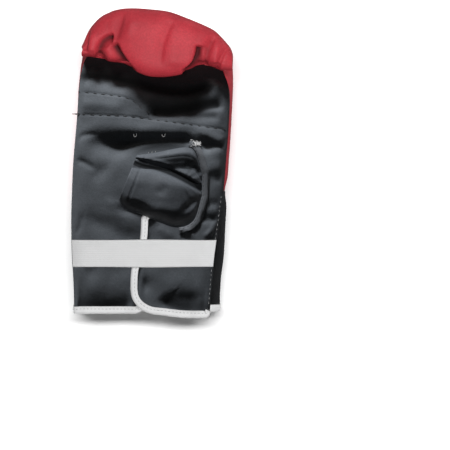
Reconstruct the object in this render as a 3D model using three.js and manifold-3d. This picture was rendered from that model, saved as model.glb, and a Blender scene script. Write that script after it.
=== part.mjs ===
// A padded bag glove for a right hand, empty and lying on its back with the palm up.
// A red padded back wraps the fingertips and is gathered onto a black palm; the wrist is a black cuff
// whose palm side is slit and bound in white tape, closed by a white elastic, with an open thumb sleeve.
// Millimetres. +X is the thumb side, +Y the fingertips, +Z up; the origin is under the middle of the glove.
import * as THREE from "three";
import { mergeVertices } from "three/addons/utils/BufferGeometryUtils.js";
import Module from "manifold-3d";

// Whole glove
const LENGTH = 280;
const HALF_WIDTH = 74.5;
const CUFF_LENGTH = 113;
const HOOD_REACH = 52;
const HAND_SEAM_HEIGHT = 43;
const CUFF_SEAM_HEIGHT = 32;

// Padding and cloth
const PAD_THICKNESS = 21;
const PAD_SIDE = 18;
const PAD_TIP = 19;
const PAD_EDGE = 5;
const PAD_CORNER = 25;
const PAD_END_THICKNESS = 9;
const PAD_END_TAPER = 50;
const HOOD_RISE = 21;
const HOOD_WALL = 13;
const HOOD_CREST = 0.25;
const LIP_REACH = 13;
const LIP_TUCK = 0.35;
const FOLD_DEPTH = 8;
const CUFF_WALL = 5;
const CUFF_CORNER = 15;
const CUFF_SETBACK = 5;
const CUFF_SEAM_SINK = 2.5;
const CUFF_SEAM_SPREAD = 9;
const PALM_THICKNESS = 2;
const PALM_CROWN = 4;
const PALM_SHOULDER = 16;
const DENT_DEPTH = 5;
const DENT_FROM_SEAM = 14;
const TUCKED_UNDER_HOOD = 8;
const GAP = 0.3;

// Slit, its flaps and the white tape
const SLIT_LENGTH = 104;
const SLIT_EYE = 4;
const SLIT_CLOSES_IN = 20;
const FLAP_OVERLAP = 12;
const FLAP_DROP = 4.5;
const FLAP_LIFT = 1.5;
const FLAP_REACH = 26;
const FLAP_PARTS_IN = 12;
const LEFT_FLAP_ROUND = 11;
const RIGHT_FLAP_ROUND = 21;
const TAPE_WIDTH = 6.6;
const TAPE_UNDER = 3.2;
const TAPE_THICKNESS = 1.1;
const TAPE_GAP = 0.4;

// Elastic
const ELASTIC_WIDTH = 25;
const ELASTIC_THICKNESS = 1.5;
const ELASTIC_FROM_EDGE = 55.5;

// Thumb sleeve
const THUMB_LENGTH = 68;
const THUMB_SPREAD = 37;
const THUMB_HEIGHT = 20;
const THUMB_WALL = 1.8;
const THUMB_TILT = 3;
const THUMB_FROM_EDGE = 120;
const THUMB_FROM_SEAM = 19.5;
const THUMB_FOLD = 6;
const THUMB_BAND_WIDTH = 6;
const THUMB_BAND_THICKNESS = 1.2;
const THUMB_HOLE_LONG = 36;
const THUMB_HOLE_WIDE = 18;
const THUMB_HOLE_FROM_BASE = 20.4;
const THUMB_HOLE_DOWN = 3.7;
const THUMB_FLAT_LONG = 44;
const THUMB_FLAT_WIDE = 40;
const THUMB_FLAT_FADE = 0.3;

// Vent holes in the palm
const VENT_DIAMETER = 3.5;
const VENT_SPACING = 26;
const VENT_FROM_HOOD = 64;
const VENT_FROM_MIDDLE = -2;

// Fineness of the meshes
const PAD_COLUMNS = 44;
const PAD_ROWS = 5;
const HOOD_ROWS = 24;
const CUFF_COLUMNS = 30;
const CUFF_ROWS = 6;
const PALM_COLUMNS = 10;
const PALM_ROWS = 13;
const SLIT_ROWS = 12;
const ELASTIC_COLUMNS = 24;
const THUMB_ROWS = 14;
const THUMB_SIDE = 11;
const HOLE_SIDES = 20;

// Shares and powers that round the shapes: 1 is even, more crowds the points towards the seams or edges
const SEAM_RISES_OVER = 0.75;
const OVAL_POWER = 0.86;
const SHOULDER_POWER = 2.5;
const PAD_CROWDING = 1.3;
const PALM_CROWDING = 1.35;
const SLIT_CROWDING = 1.7;
const THUMB_CROWDING = 1.4;
const THUMB_ARCH_POWER = 0.7;
const THUMB_FOLD_WIDE = 0.12;
const THUMB_BAND_FROM = 0.68;
const TAPE_HUMP_REACH = 1.6;
const BOTTOM_SHARE = 0.62;
const CORNER_SHARE = 0.86;

// Places that follow from the sizes
const CUFF_EDGE = -LENGTH / 2;
const PALM_TOP = LENGTH / 2 - HOOD_REACH;
const PAD_END = CUFF_EDGE + CUFF_LENGTH;
const PALM_BOTTOM = CUFF_EDGE + GAP + TAPE_THICKNESS;
const SLIT_TOP = CUFF_EDGE + SLIT_LENGTH;
const PALM_RISE = GAP + PALM_THICKNESS / 2;
const DEGREE = Math.PI / 180;
const LIP_ANGLE = 270;
const FOLDS_FULL_ANGLE = 205;

// Side seams. at: share of the way from the cuff's edge to the palm's top edge.
// left, right: the seams, and leftRoll, rightRoll: how far the side bulges past them, in half widths.
const SIDES = [
  { at: 0, left: -0.95, right: 0.705, leftRoll: 0.008, rightRoll: 0.13 },
  { at: 0.137, left: -0.962, right: 0.742, leftRoll: 0.01, rightRoll: 0.11 },
  { at: 0.241, left: -0.98, right: 0.772, leftRoll: 0.01, rightRoll: 0.125 },
  { at: 0.377, left: -0.986, right: 0.833, leftRoll: 0.012, rightRoll: 0.085 },
  { at: 0.5, left: -0.974, right: 0.88, leftRoll: 0.012, rightRoll: 0.06 },
  { at: 0.618, left: -0.956, right: 0.91, leftRoll: 0.012, rightRoll: 0.047 },
  { at: 0.78, left: -0.912, right: 0.946, leftRoll: 0.014, rightRoll: 0.034 },
  { at: 0.912, left: -0.882, right: 0.945, leftRoll: 0.02, rightRoll: 0.055 },
  { at: 1, left: -0.84, right: 0.85, leftRoll: 0.035, rightRoll: 0.145 },
  { at: 1.04, left: -0.79, right: 0.84, leftRoll: 0.065, rightRoll: 0.15 },
];

// The palm's top edge, under the hood: how far it lies past its middle, in hood reaches. x: half widths.
const TOP_EDGE = [
  { x: -0.85, past: 0.22 },
  { x: -0.66, past: 0.18 },
  { x: -0.43, past: 0.09 },
  { x: 0, past: 0 },
  { x: 0.5, past: 0.02 },
  { x: 0.68, past: 0.05 },
  { x: 0.82, past: -0.01 },
  { x: 0.9, past: -0.09 },
];

// The hood over the fingertips. across: -1 at the left seam, 1 at the right seam. tip: reach past the
// palm's edge in hood reaches; rise: height over the palm in hood rises; lip: overhang in lip reaches.
const HOOD = [
  { across: -1, tip: 0.3, rise: 0.15, lip: 0.31 },
  { across: -0.93, tip: 0.31, rise: 0.36, lip: 0.3 },
  { across: -0.86, tip: 0.32, rise: 0.5, lip: 0.28 },
  { across: -0.8, tip: 0.4, rise: 0.57, lip: 0.25 },
  { across: -0.74, tip: 0.63, rise: 0.62, lip: 0.25 },
  { across: -0.68, tip: 0.82, rise: 0.67, lip: 0.25 },
  { across: -0.62, tip: 0.92, rise: 0.72, lip: 0.25 },
  { across: -0.44, tip: 0.985, rise: 0.86, lip: 0.32 },
  { across: -0.26, tip: 1, rise: 0.97, lip: 0.66 },
  { across: -0.05, tip: 0.987, rise: 1, lip: 0.96 },
  { across: 0.2, tip: 0.938, rise: 1, lip: 1 },
  { across: 0.42, tip: 0.821, rise: 0.95, lip: 0.75 },
  { across: 0.56, tip: 0.735, rise: 0.84, lip: 0.3 },
  { across: 0.68, tip: 0.59, rise: 0.72, lip: 0.26 },
  { across: 0.74, tip: 0.47, rise: 0.64, lip: 0.25 },
  { across: 0.8, tip: 0.32, rise: 0.55, lip: 0.25 },
  { across: 0.86, tip: 0.18, rise: 0.45, lip: 0.25 },
  { across: 1, tip: 0.06, rise: 0.15, lip: 0.23 },
];

// Gathers where the hood meets the palm. lip, crown: place across the glove at the palm and over the
// top, and wide: half the width, in half widths; deep: in fold depths; from: where it starts, degrees.
const FOLDS = [
  { lip: -0.8, crown: -0.7, wide: 0.045, deep: 0.4, from: 95 },
  { lip: -0.58, crown: -0.48, wide: 0.12, deep: 1, from: 130 },
  { lip: -0.41, crown: -0.41, wide: 0.04, deep: 0.4, from: 140 },
  { lip: 0.08, crown: 0.22, wide: 0.07, deep: 0.3, from: 105 },
  { lip: 0.585, crown: 0.575, wide: 0.045, deep: 1, from: 140 },
  { lip: 0.74, crown: 0.76, wide: 0.07, deep: 0.65, from: 125 },
  { lip: 0.86, crown: 0.92, wide: 0.03, deep: 0.35, from: 110 },
];

// Dents in the palm. x in half widths, y in shares from the cuff's edge to the palm's top edge,
// long, wide: half sizes in half widths; turn: degrees from across the glove; deep: in dent depths.
const DENTS = [
  { x: 0.03, y: 0.69, long: 0.95, wide: 0.11, turn: -1, deep: 1 },
  { x: -0.1, y: 0.755, long: 0.9, wide: 0.09, turn: -5, deep: -0.4 },
  { x: 0, y: 0.93, long: 0.85, wide: 0.12, turn: -3, deep: 0.5 },
  { x: -0.63, y: 0.57, long: 0.17, wide: 0.1, turn: 35, deep: 0.6 },
  { x: -0.5, y: 0.37, long: 0.42, wide: 0.12, turn: -24, deep: 0.65 },
  { x: -0.45, y: 0.47, long: 0.3, wide: 0.15, turn: -24, deep: -0.3 },
  { x: 0.8, y: 0.44, long: 0.1, wide: 0.07, turn: 5, deep: 0.5 },
  { x: -0.8, y: 0.17, long: 0.12, wide: 0.1, turn: 0, deep: 0.5 },
  { x: -0.1, y: 0.115, long: 0.1, wide: 0.08, turn: 20, deep: 0.6 },
  { x: 0.4, y: 0.04, long: 0.35, wide: 0.12, turn: -12, deep: 0.5 },
];

// The line that the slit runs along. at: share of its length from its top; x: in half widths.
const SLIT_LINE = [
  { at: 0, x: -0.02 },
  { at: 0.15, x: -0.03 },
  { at: 0.35, x: -0.05 },
  { at: 0.6, x: -0.15 },
  { at: 0.75, x: -0.165 },
  { at: 1, x: -0.16 },
];

// The thumb sleeve's flat outline. along: shares of its length from the base seam to the mouth, for
// its finger-side edge (up) and its wrist-side edge (down); spread: shares of half its base's width
// from its axis; height: of its full height; fold: where its crease lies, from up (0) to down (1).
const THUMB = [
  { upAlong: 0.878, up: 0.69, downAlong: 1.12, down: -0.43, height: 0.68, fold: 0.17 },
  { upAlong: 0.76, up: 0.72, downAlong: 1.045, down: -0.64, height: 0.76, fold: 0.2 },
  { upAlong: 0.6, up: 0.765, downAlong: 0.8, down: -0.8, height: 0.82, fold: 0.25 },
  { upAlong: 0.4, up: 0.84, downAlong: 0.57, down: -0.98, height: 1, fold: 0.32 },
  { upAlong: 0.2, up: 0.88, downAlong: 0.334, down: -1.1, height: 0.95, fold: 0.39 },
  { upAlong: 0.09, up: 0.74, downAlong: 0.12, down: -0.92, height: 0.66, fold: 0.45 },
  { upAlong: 0.005, up: 0.2, downAlong: 0.01, down: -0.32, height: 0.22, fold: 0.5 },
];

const clamp = (value, low, high) => Math.min(Math.max(value, low), high);
const mix = (a, b, share) => a + (b - a) * share;
const smooth = (value) => {
  const t = clamp(value, 0, 1);
  return t * t * (3 - 2 * t);
};
const bump = (distance) => Math.exp(-distance * distance);

// The value of a column of a table at a place between its rows, on a smooth curve through them.
function follow(table, place, column, at) {
  let i = 0;
  while (i < table.length - 2 && table[i + 1][place] < at) i++;
  const [a, b] = [table[i], table[i + 1]];
  const before = table[Math.max(i - 1, 0)];
  const after = table[Math.min(i + 2, table.length - 1)];
  const span = b[place] - a[place];
  const t = clamp((at - a[place]) / span, 0, 1);
  const leaving = ((b[column] - before[column]) / (b[place] - before[place])) * span;
  const arriving = ((after[column] - a[column]) / (after[place] - a[place])) * span;
  const [t2, t3] = [t * t, t * t * t];
  return (
    (2 * t3 - 3 * t2 + 1) * a[column] +
    (t3 - 2 * t2 + t) * leaving +
    (3 * t2 - 2 * t3) * b[column] +
    (t3 - t2) * arriving
  );
}

const wasm = await Module();
wasm.setup();

function geometryOf(points, triangles) {
  const positions = new Float32Array(points.flatMap((p) => [p.x, p.y, p.z]));
  const geometry = new THREE.BufferGeometry();
  geometry.setAttribute("position", new THREE.BufferAttribute(positions, 3));
  geometry.setIndex(triangles.flat());
  return geometry;
}

function toSolid(geometry) {
  const bare = geometry.clone();
  bare.deleteAttribute("normal");
  bare.deleteAttribute("uv");
  const merged = mergeVertices(bare, 1e-4);
  const mesh = new wasm.Mesh({
    numProp: 3,
    vertProperties: new Float32Array(merged.attributes.position.array),
    triVerts: new Uint32Array(merged.index.array),
  });
  return new wasm.Manifold(mesh);
}

function fromSolid(solid) {
  const mesh = solid.getMesh();
  const geometry = new THREE.BufferGeometry();
  geometry.setAttribute("position", new THREE.BufferAttribute(mesh.vertProperties, 3));
  geometry.setIndex(new THREE.BufferAttribute(mesh.triVerts, 1));
  return geometry;
}

// The quads of a grid whose points are stored row by row.
function gridQuads(rows, columns) {
  const quads = [];
  for (let i = 0; i + 1 < rows; i++) {
    for (let j = 0; j + 1 < columns; j++) {
      const a = i * columns + j;
      quads.push([a, a + 1, a + columns + 1, a + columns]);
    }
  }
  return quads;
}

// A wall between an outer and an inner surface with the same faces, closed along every open edge.
function wallSolid(outer, inner, faces) {
  const shift = outer.length;
  const triangles = [];
  const edges = new Map();
  for (const face of faces) {
    for (let k = 2; k < face.length; k++) {
      const [a, b, c] = [face[0], face[k - 1], face[k]];
      triangles.push([a, b, c], [a + shift, c + shift, b + shift]);
    }
    face.forEach((from, k) => {
      const to = face[(k + 1) % face.length];
      if (!edges.delete(`${to} ${from}`)) edges.set(`${from} ${to}`, [from, to]);
    });
  }
  for (const [from, to] of edges.values()) {
    triangles.push([to, from, from + shift], [to, from + shift, to + shift]);
  }
  return geometryOf([...outer, ...inner], triangles);
}

// Each point's normal on a surface of quads, the mean of those of its faces.
function normalsOf(points, quads) {
  const normals = points.map(() => new THREE.Vector3());
  for (const quad of quads) {
    const [a, b, c, d] = quad.map((i) => points[i]);
    const face = c.clone().sub(a).cross(d.clone().sub(b));
    for (const i of quad) normals[i].add(face);
  }
  return normals.map((n) => n.normalize());
}

const moved = (points, normals, by) => points.map((p, i) => p.clone().addScaledVector(normals[i], by));

// A closed section carried along rings of points, with its two ends closed.
function ringSolid(rings, flatSection) {
  const size = flatSection.length;
  const triangles = [];
  for (let i = 0; i + 1 < rings.length; i++) {
    for (let j = 0; j < size; j++) {
      const [a, b] = [i * size + j, i * size + ((j + 1) % size)];
      triangles.push([a, b, b + size], [a, b + size, a + size]);
    }
  }
  const last = (rings.length - 1) * size;
  for (const [a, b, c] of THREE.ShapeUtils.triangulateShape(flatSection, [])) {
    triangles.push([a, c, b], [a + last, b + last, c + last]);
  }
  return geometryOf(rings.flat(), triangles);
}

// The height of the side seams at a place along the glove.
function seamHeight(y) {
  const risen = smooth((y - CUFF_EDGE) / (SEAM_RISES_OVER * LENGTH));
  return mix(CUFF_SEAM_HEIGHT, HAND_SEAM_HEIGHT, risen);
}

function sidesAt(y) {
  const at = (y - CUFF_EDGE) / (PALM_TOP - CUFF_EDGE);
  const side = (column) => HALF_WIDTH * follow(SIDES, "at", column, at);
  const [left, right] = [side("left"), side("right")];
  return { left, right, leftRoll: side("leftRoll"), rightRoll: side("rightRoll") };
}

function palmTopAt(x) {
  return PALM_TOP + HOOD_REACH * follow(TOP_EDGE, "x", "past", x / HALF_WIDTH);
}

// A point of the trough that carries the palm: of its outside, or of its inside where a wall is given.
function trough(y, across, corner, wall) {
  const sides = sidesAt(y);
  const top = seamHeight(y);
  const sign = across < 0 ? -1 : 1;
  const seam = Math.abs(sign < 0 ? sides.left : sides.right);
  const roll = sign < 0 ? sides.leftRoll : sides.rightRoll;
  const sink = CUFF_SEAM_SINK * bump((y - PAD_END) / CUFF_SEAM_SPREAD);
  const fromTape = y - CUFF_EDGE - CUFF_SETBACK - TAPE_WIDTH;
  const overTape = (TAPE_THICKNESS + GAP) * smooth(1 - fromTape / (2 * TAPE_WIDTH));
  const reach = seam + roll - sink - (wall ? wall.side : 0);
  const edge = seam - (wall ? PAD_EDGE : 0);
  const floor = sink + overTape + (wall ? wall.floor : 0);
  const round = wall ? Math.min(corner, 0.45 * (top - floor)) : corner;
  const share = Math.abs(across);
  if (share < BOTTOM_SHARE) {
    return new THREE.Vector3((sign * (reach - round) * share) / BOTTOM_SHARE, y, floor);
  }
  if (share < CORNER_SHARE) {
    const turn = (((share - BOTTOM_SHARE) / (CORNER_SHARE - BOTTOM_SHARE)) * Math.PI) / 2;
    const [out, up] = [Math.sin(turn), 1 - Math.cos(turn)];
    return new THREE.Vector3(sign * (reach - round + round * out), y, floor + round * up);
  }
  const up = (share - CORNER_SHARE) / (1 - CORNER_SHARE);
  return new THREE.Vector3(sign * mix(reach, edge, up * up), y, mix(floor + round, top, up));
}

// Where the palm's top edge lies for a line along the pad's outside or inside.
function padTopAt(across, inside) {
  const { left, right } = sidesAt(PALM_TOP);
  const { x } = trough(PALM_TOP, across, PAD_CORNER, inside ? padWall(PALM_TOP) : null);
  return palmTopAt(clamp(x, left, right));
}

// The pad's wall along the hand, thinner towards the cuff.
function padWall(y) {
  const full = smooth((y - PAD_END) / PAD_END_TAPER);
  const side = mix(PAD_END_THICKNESS, PAD_SIDE, full);
  return { side, floor: mix(PAD_END_THICKNESS, PAD_THICKNESS, full) };
}

const CUFF_INSIDE = { side: CUFF_WALL, floor: CUFF_WALL };

const spread = (columns) => Array.from({ length: columns + 1 }, (_, j) => -1 + (2 * j) / columns);

// A quarter of a squared oval, as shares of its first and second half axes at an angle between them.
function quarterOval(degrees) {
  const turn = clamp(degrees, 0, 90) * DEGREE;
  const squared = (value) => Math.max(value, 0) ** OVAL_POWER;
  return [squared(Math.cos(turn)), squared(Math.sin(turn))];
}

// How deep the gathers of the hood are at a place across the glove and an angle round the fingertips.
function foldDepth(x, angle) {
  let depth = 0;
  for (const fold of FOLDS) {
    const drift = smooth((angle - fold.from) / (LIP_ANGLE - fold.from));
    const middle = HALF_WIDTH * mix(fold.crown, fold.lip, drift);
    const begun = smooth((angle - fold.from) / (FOLDS_FULL_ANGLE - fold.from));
    depth += FOLD_DEPTH * fold.deep * begun * bump((x - middle) / (HALF_WIDTH * fold.wide));
  }
  return depth;
}

// A point of the hood, turned by an angle about the palm's top edge, from under the hand to the lip.
function hoodPoint(across, angle, inside) {
  const edge = padTopAt(across, inside);
  const start = trough(edge, across, PAD_CORNER, inside ? padWall(edge) : null);
  const axis = seamHeight(edge) + PALM_RISE;
  const value = (column) => follow(HOOD, "across", column, across);
  const least = inside ? PALM_THICKNESS : 1.5 * PALM_THICKNESS;
  const fold = inside ? 0 : foldDepth(start.x, angle);
  const reach = PALM_TOP + HOOD_REACH * value("tip") - edge;
  const tip = Math.max(reach - (inside ? PAD_TIP : 0), least);
  const full = HOOD_RISE * value("rise");
  const rise = Math.max(inside ? full - HOOD_WALL : Math.max(full - fold, 0.4 * full), least);
  const crest = inside ? 0 : HOOD_CREST * tip;
  const lip = Math.max(inside ? 0 : LIP_REACH * value("lip") - 0.7 * fold, least);
  if (angle <= 90) {
    const [back, out] = quarterOval(angle);
    return new THREE.Vector3(start.x, edge + tip * out, axis - (axis - start.z) * back);
  }
  if (angle <= 180) {
    const [out, up] = quarterOval(angle - 90);
    return new THREE.Vector3(start.x, edge + crest + (tip - crest) * out, axis + rise * up);
  }
  const past = (angle - 180) / (LIP_ANGLE - 180);
  const [up, over] = quarterOval(90 * past);
  const tuck = LIP_TUCK * (lip - least) * smooth((past - 0.7) / 0.3);
  const y = edge + crest - (crest + lip) * over + tuck;
  return new THREE.Vector3(start.x, y, axis + mix(PALM_RISE, rise, up));
}

// The red padded back with the hood over the fingertips, one hollow shell open to the palm and wrist.
function backPad() {
  const rows = [];
  for (let i = 0; i < PAD_ROWS; i++) {
    rows.push((across, inside) => {
      const y = mix(PAD_END + GAP / 2, padTopAt(across, inside), (i / PAD_ROWS) ** PAD_CROWDING);
      return trough(y, across, PAD_CORNER, inside ? padWall(y) : null);
    });
  }
  for (let i = 0; i <= HOOD_ROWS; i++) {
    rows.push((across, inside) => hoodPoint(across, (LIP_ANGLE * i) / HOOD_ROWS, inside));
  }
  const shares = spread(PAD_COLUMNS);
  const [outer, inner] = [false, true].map((inside) =>
    rows.flatMap((row) => shares.map((across) => row(across, inside))),
  );
  return wallSolid(inner, outer, gridQuads(rows.length, shares.length));
}

// The cuff's corner radius, that of the pad where they meet.
function cuffCorner(y) {
  return mix(CUFF_CORNER, PAD_CORNER, smooth((y - CUFF_EDGE) / CUFF_LENGTH));
}

// The black back of the cuff, a trough with thin walls.
function cuffBack() {
  const [outer, inner] = [[], []];
  for (let i = 0; i <= CUFF_ROWS; i++) {
    const y = mix(CUFF_EDGE + CUFF_SETBACK, PAD_END - GAP / 2, i / CUFF_ROWS);
    for (const across of spread(CUFF_COLUMNS)) {
      outer.push(trough(y, across, cuffCorner(y), null));
      inner.push(trough(y, across, cuffCorner(y), CUFF_INSIDE));
    }
  }
  return wallSolid(inner, outer, gridQuads(CUFF_ROWS + 1, CUFF_COLUMNS + 1));
}

// How far the slit's edges stand apart, halved, at a distance below its top; negative where they overlap.
function slitHalfGap(below) {
  if (below < SLIT_EYE) return Math.sqrt(Math.max(0, SLIT_EYE ** 2 - (SLIT_EYE - below) ** 2));
  return SLIT_EYE - (SLIT_EYE + FLAP_OVERLAP / 2) * smooth((below - SLIT_EYE) / SLIT_CLOSES_IN);
}

function slitX(y) {
  return HALF_WIDTH * follow(SLIT_LINE, "at", "x", clamp((SLIT_TOP - y) / SLIT_LENGTH, 0, 1));
}

// How much higher the palm stands than its side seams, rising over a rounded shoulder inside each.
function palmCrown(x, y) {
  const sides = sidesAt(y);
  const inside = clamp(Math.min(x - sides.left, sides.right - x) / PALM_SHOULDER, 0, 1);
  return PALM_CROWN * (1 - (1 - inside) ** SHOULDER_POWER);
}

// How deep the palm is dented at a place; it is flat beside its seams and round the thumb sleeve.
function dentDepth(x, y) {
  const sides = sidesAt(y);
  const span = PALM_TOP - CUFF_EDGE;
  let depth = 0;
  for (const dent of DENTS) {
    const dx = x / HALF_WIDTH - dent.x;
    const dy = (y - CUFF_EDGE - dent.y * span) / HALF_WIDTH;
    const turn = dent.turn * DEGREE;
    const along = (dx * Math.cos(turn) + dy * Math.sin(turn)) / dent.long;
    const beside = (dy * Math.cos(turn) - dx * Math.sin(turn)) / dent.wide;
    depth += DENT_DEPTH * dent.deep * bump(Math.hypot(along, beside));
  }
  const fromSeam = Math.min(x - sides.left, sides.right - x) - PAD_EDGE - 1;
  const base = thumbBase();
  const fromThumb = Math.hypot(
    (x - base.x + THUMB_LENGTH / 2) / THUMB_FLAT_LONG,
    (y - base.y) / THUMB_FLAT_WIDE,
  );
  return depth * smooth(fromSeam / DENT_FROM_SEAM) * smooth((fromThumb - 1) / THUMB_FLAT_FADE);
}

// The palm's middle surface on one side of the slit: its crown and dents, with the flaps parted.
function flapHeight(x, y, side) {
  const below = Math.max(0, SLIT_TOP - y);
  const edge = slitX(y) + side * slitHalfGap(below);
  const fromEdge = Math.hypot(x - edge, Math.max(0, y - SLIT_TOP));
  const dents = dentDepth(x, y) * smooth((fromEdge - TAPE_WIDTH) / TAPE_WIDTH);
  const free = smooth((palmTopAt(x) - LIP_REACH - y) / TUCKED_UNDER_HOOD);
  const level = seamHeight(y) + PALM_RISE + (palmCrown(x, y) - dents) * free;
  const sides = sidesAt(y);
  const fromSeam = Math.min(x - sides.left, sides.right - x) - PAD_EDGE;
  const shift = side < 0 ? -FLAP_DROP : FLAP_LIFT;
  const parted = smooth(below / FLAP_PARTS_IN) * bump((x - edge) / FLAP_REACH);
  return level + shift * parted * smooth(fromSeam / FLAP_PARTS_IN);
}

// Rows of the palm from the cuff's edge up, as shares: below 1 on the flaps, and 1 to 2 above the slit.
function palmRows() {
  const flaps = Array.from({ length: SLIT_ROWS }, (_, i) => 1 - (1 - i / SLIT_ROWS) ** SLIT_CROWDING);
  const whole = Array.from({ length: PALM_ROWS + 1 }, (_, i) => 1 + i / PALM_ROWS);
  return [...flaps, ...whole];
}

// One half of the palm, on one side of the slit's line, row by row from its slit edge to its side seam.
function palmHalf(side) {
  const round = side < 0 ? LEFT_FLAP_ROUND : RIGHT_FLAP_ROUND;
  return palmRows().map((share) => {
    const row = [];
    for (let j = 0; j <= PALM_COLUMNS; j++) {
      const out = (j / PALM_COLUMNS) ** PALM_CROWDING;
      const bottomSides = sidesAt(PALM_BOTTOM);
      const bottomSeam = side < 0 ? bottomSides.left : bottomSides.right;
      const bottomEdge = slitX(PALM_BOTTOM) - (side * FLAP_OVERLAP) / 2;
      const fromEdge = out * Math.abs(bottomSeam - bottomEdge);
      const raise = fromEdge < round ? round - Math.sqrt(round ** 2 - (round - fromEdge) ** 2) : 0;
      const spot = (y) => {
        const edge = slitX(y) + side * slitHalfGap(Math.max(0, SLIT_TOP - y));
        const sides = sidesAt(y);
        return mix(edge, side < 0 ? sides.left : sides.right, out);
      };
      const y =
        share < 1
          ? mix(PALM_BOTTOM + raise, SLIT_TOP, share)
          : mix(SLIT_TOP, palmTopAt(spot(PALM_TOP)), share - 1);
      const x = spot(y);
      row.push(new THREE.Vector3(x, y, flapHeight(x, y, side)));
    }
    return row;
  });
}

// The palm's middle surface: two halves that share their points from the slit's top up, and the path
// of the tape along the flaps' bottoms and round the slit, as indices of those points.
function palmSurface() {
  const [left, right] = [palmHalf(-1), palmHalf(1)];
  const points = [];
  const leftIndex = left.map((row) => row.map((p) => points.push(p) - 1));
  const rightIndex = right.map((row, i) =>
    row.map((p, j) => (j === 0 && i >= SLIT_ROWS ? leftIndex[i][0] : points.push(p) - 1)),
  );
  const quads = [];
  for (let i = 0; i + 1 < left.length; i++) {
    for (let j = 0; j < PALM_COLUMNS; j++) {
      const [a, b] = [leftIndex[i], leftIndex[i + 1]];
      const [c, d] = [rightIndex[i], rightIndex[i + 1]];
      quads.push([a[j + 1], a[j], b[j], b[j + 1]], [c[j], c[j + 1], d[j + 1], d[j]]);
    }
  }
  const slitEdge = (index) => index.slice(0, SLIT_ROWS).map((row) => row[0]);
  const path = [
    ...leftIndex[0].slice(1).reverse(),
    ...slitEdge(leftIndex),
    leftIndex[SLIT_ROWS][0],
    ...slitEdge(rightIndex).reverse(),
    ...rightIndex[0].slice(1),
  ];
  return { points, quads, path, normals: normalsOf(points, quads) };
}

const palm = palmSurface();

// Where the thumb sleeve's base seam reaches furthest towards the thumb side.
function thumbBase() {
  const y = CUFF_EDGE + THUMB_FROM_EDGE;
  return new THREE.Vector2(sidesAt(y).right - THUMB_FROM_SEAM, y);
}

function palmPanel() {
  const { points, quads, normals } = palm;
  const half = PALM_THICKNESS / 2;
  let solid = toSolid(wallSolid(moved(points, normals, half), moved(points, normals, -half), quads));
  const drill = (x, y, radiusX, radiusY, sides) => {
    const cutter = new THREE.CylinderGeometry(1, 1, 2 * HAND_SEAM_HEIGHT, sides)
      .rotateX(Math.PI / 2)
      .scale(radiusX, radiusY, 1)
      .translate(x, y, HAND_SEAM_HEIGHT);
    solid = solid.subtract(toSolid(cutter));
  };
  for (const side of [-1, 1]) {
    const x = VENT_FROM_MIDDLE + (side * VENT_SPACING) / 2;
    drill(x, PALM_TOP - VENT_FROM_HOOD, VENT_DIAMETER / 2, VENT_DIAMETER / 2, HOLE_SIDES / 2);
  }
  const hole = thumbHole();
  drill(hole.x, hole.y, THUMB_HOLE_WIDE / 2, THUMB_HOLE_LONG / 2, HOLE_SIDES);
  return fromSolid(solid);
}

function thumbHole() {
  const base = thumbBase();
  const [x, y] = [base.x - THUMB_HOLE_FROM_BASE, base.y - THUMB_HOLE_DOWN];
  return new THREE.Vector3(x, y, flapHeight(x, y, 1) + PALM_THICKNESS / 2);
}

// The white tape folded over an edge, as a channel: across the edge (outwards), and through the cloth.
const TAPE_SECTION = (slot) => {
  const [inner, outer] = [slot / 2 + TAPE_GAP, slot / 2 + TAPE_GAP + TAPE_THICKNESS];
  const end = GAP + TAPE_THICKNESS;
  return [
    new THREE.Vector2(end, -outer),
    new THREE.Vector2(end, outer),
    new THREE.Vector2(end - TAPE_WIDTH, outer),
    new THREE.Vector2(end - TAPE_WIDTH, inner),
    new THREE.Vector2(GAP, inner),
    new THREE.Vector2(GAP, -inner),
    new THREE.Vector2(end - TAPE_UNDER, -inner),
    new THREE.Vector2(end - TAPE_UNDER, -outer),
  ];
};

function tapeAlong(points, normals, slot) {
  const section = TAPE_SECTION(slot);
  const rings = points.map((point, i) => {
    const [before, after] = [points[Math.max(i - 1, 0)], points[Math.min(i + 1, points.length - 1)]];
    const along = after.clone().sub(before).normalize();
    const outwards = along.clone().cross(normals[i]).normalize();
    const through = outwards.clone().cross(along).normalize();
    return section.map((s) => point.clone().addScaledVector(outwards, s.x).addScaledVector(through, s.y));
  });
  return ringSolid(rings, section);
}

// The tape of the palm side, one length from side seam to side seam round both flaps and the slit.
function slitTape() {
  const { points, normals, path } = palm;
  const along = path.map((i) => points[i]);
  return tapeAlong(along, path.map((i) => normals[i]), PALM_THICKNESS);
}

// The tape of the cuff's back edge, from side seam to side seam under the wrist.
function backTape() {
  const y = CUFF_EDGE + CUFF_SETBACK;
  const points = spread(CUFF_COLUMNS).map((across) => {
    const outer = trough(y, across, cuffCorner(y), null);
    const inner = trough(y, across, cuffCorner(y), CUFF_INSIDE);
    return { middle: outer.clone().lerp(inner, 0.5), through: inner.clone().sub(outer) };
  });
  const section = TAPE_SECTION(0);
  const rings = points.map(({ middle, through }) => {
    const half = through.length() / 2;
    const inwards = through.clone().normalize();
    return section.map((s) => {
      const offset = Math.sign(s.y) * (half + Math.abs(s.y));
      return middle.clone().addScaledVector(inwards, offset).add(new THREE.Vector3(0, -s.x, 0));
    });
  });
  return ringSolid(rings, section);
}

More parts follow.
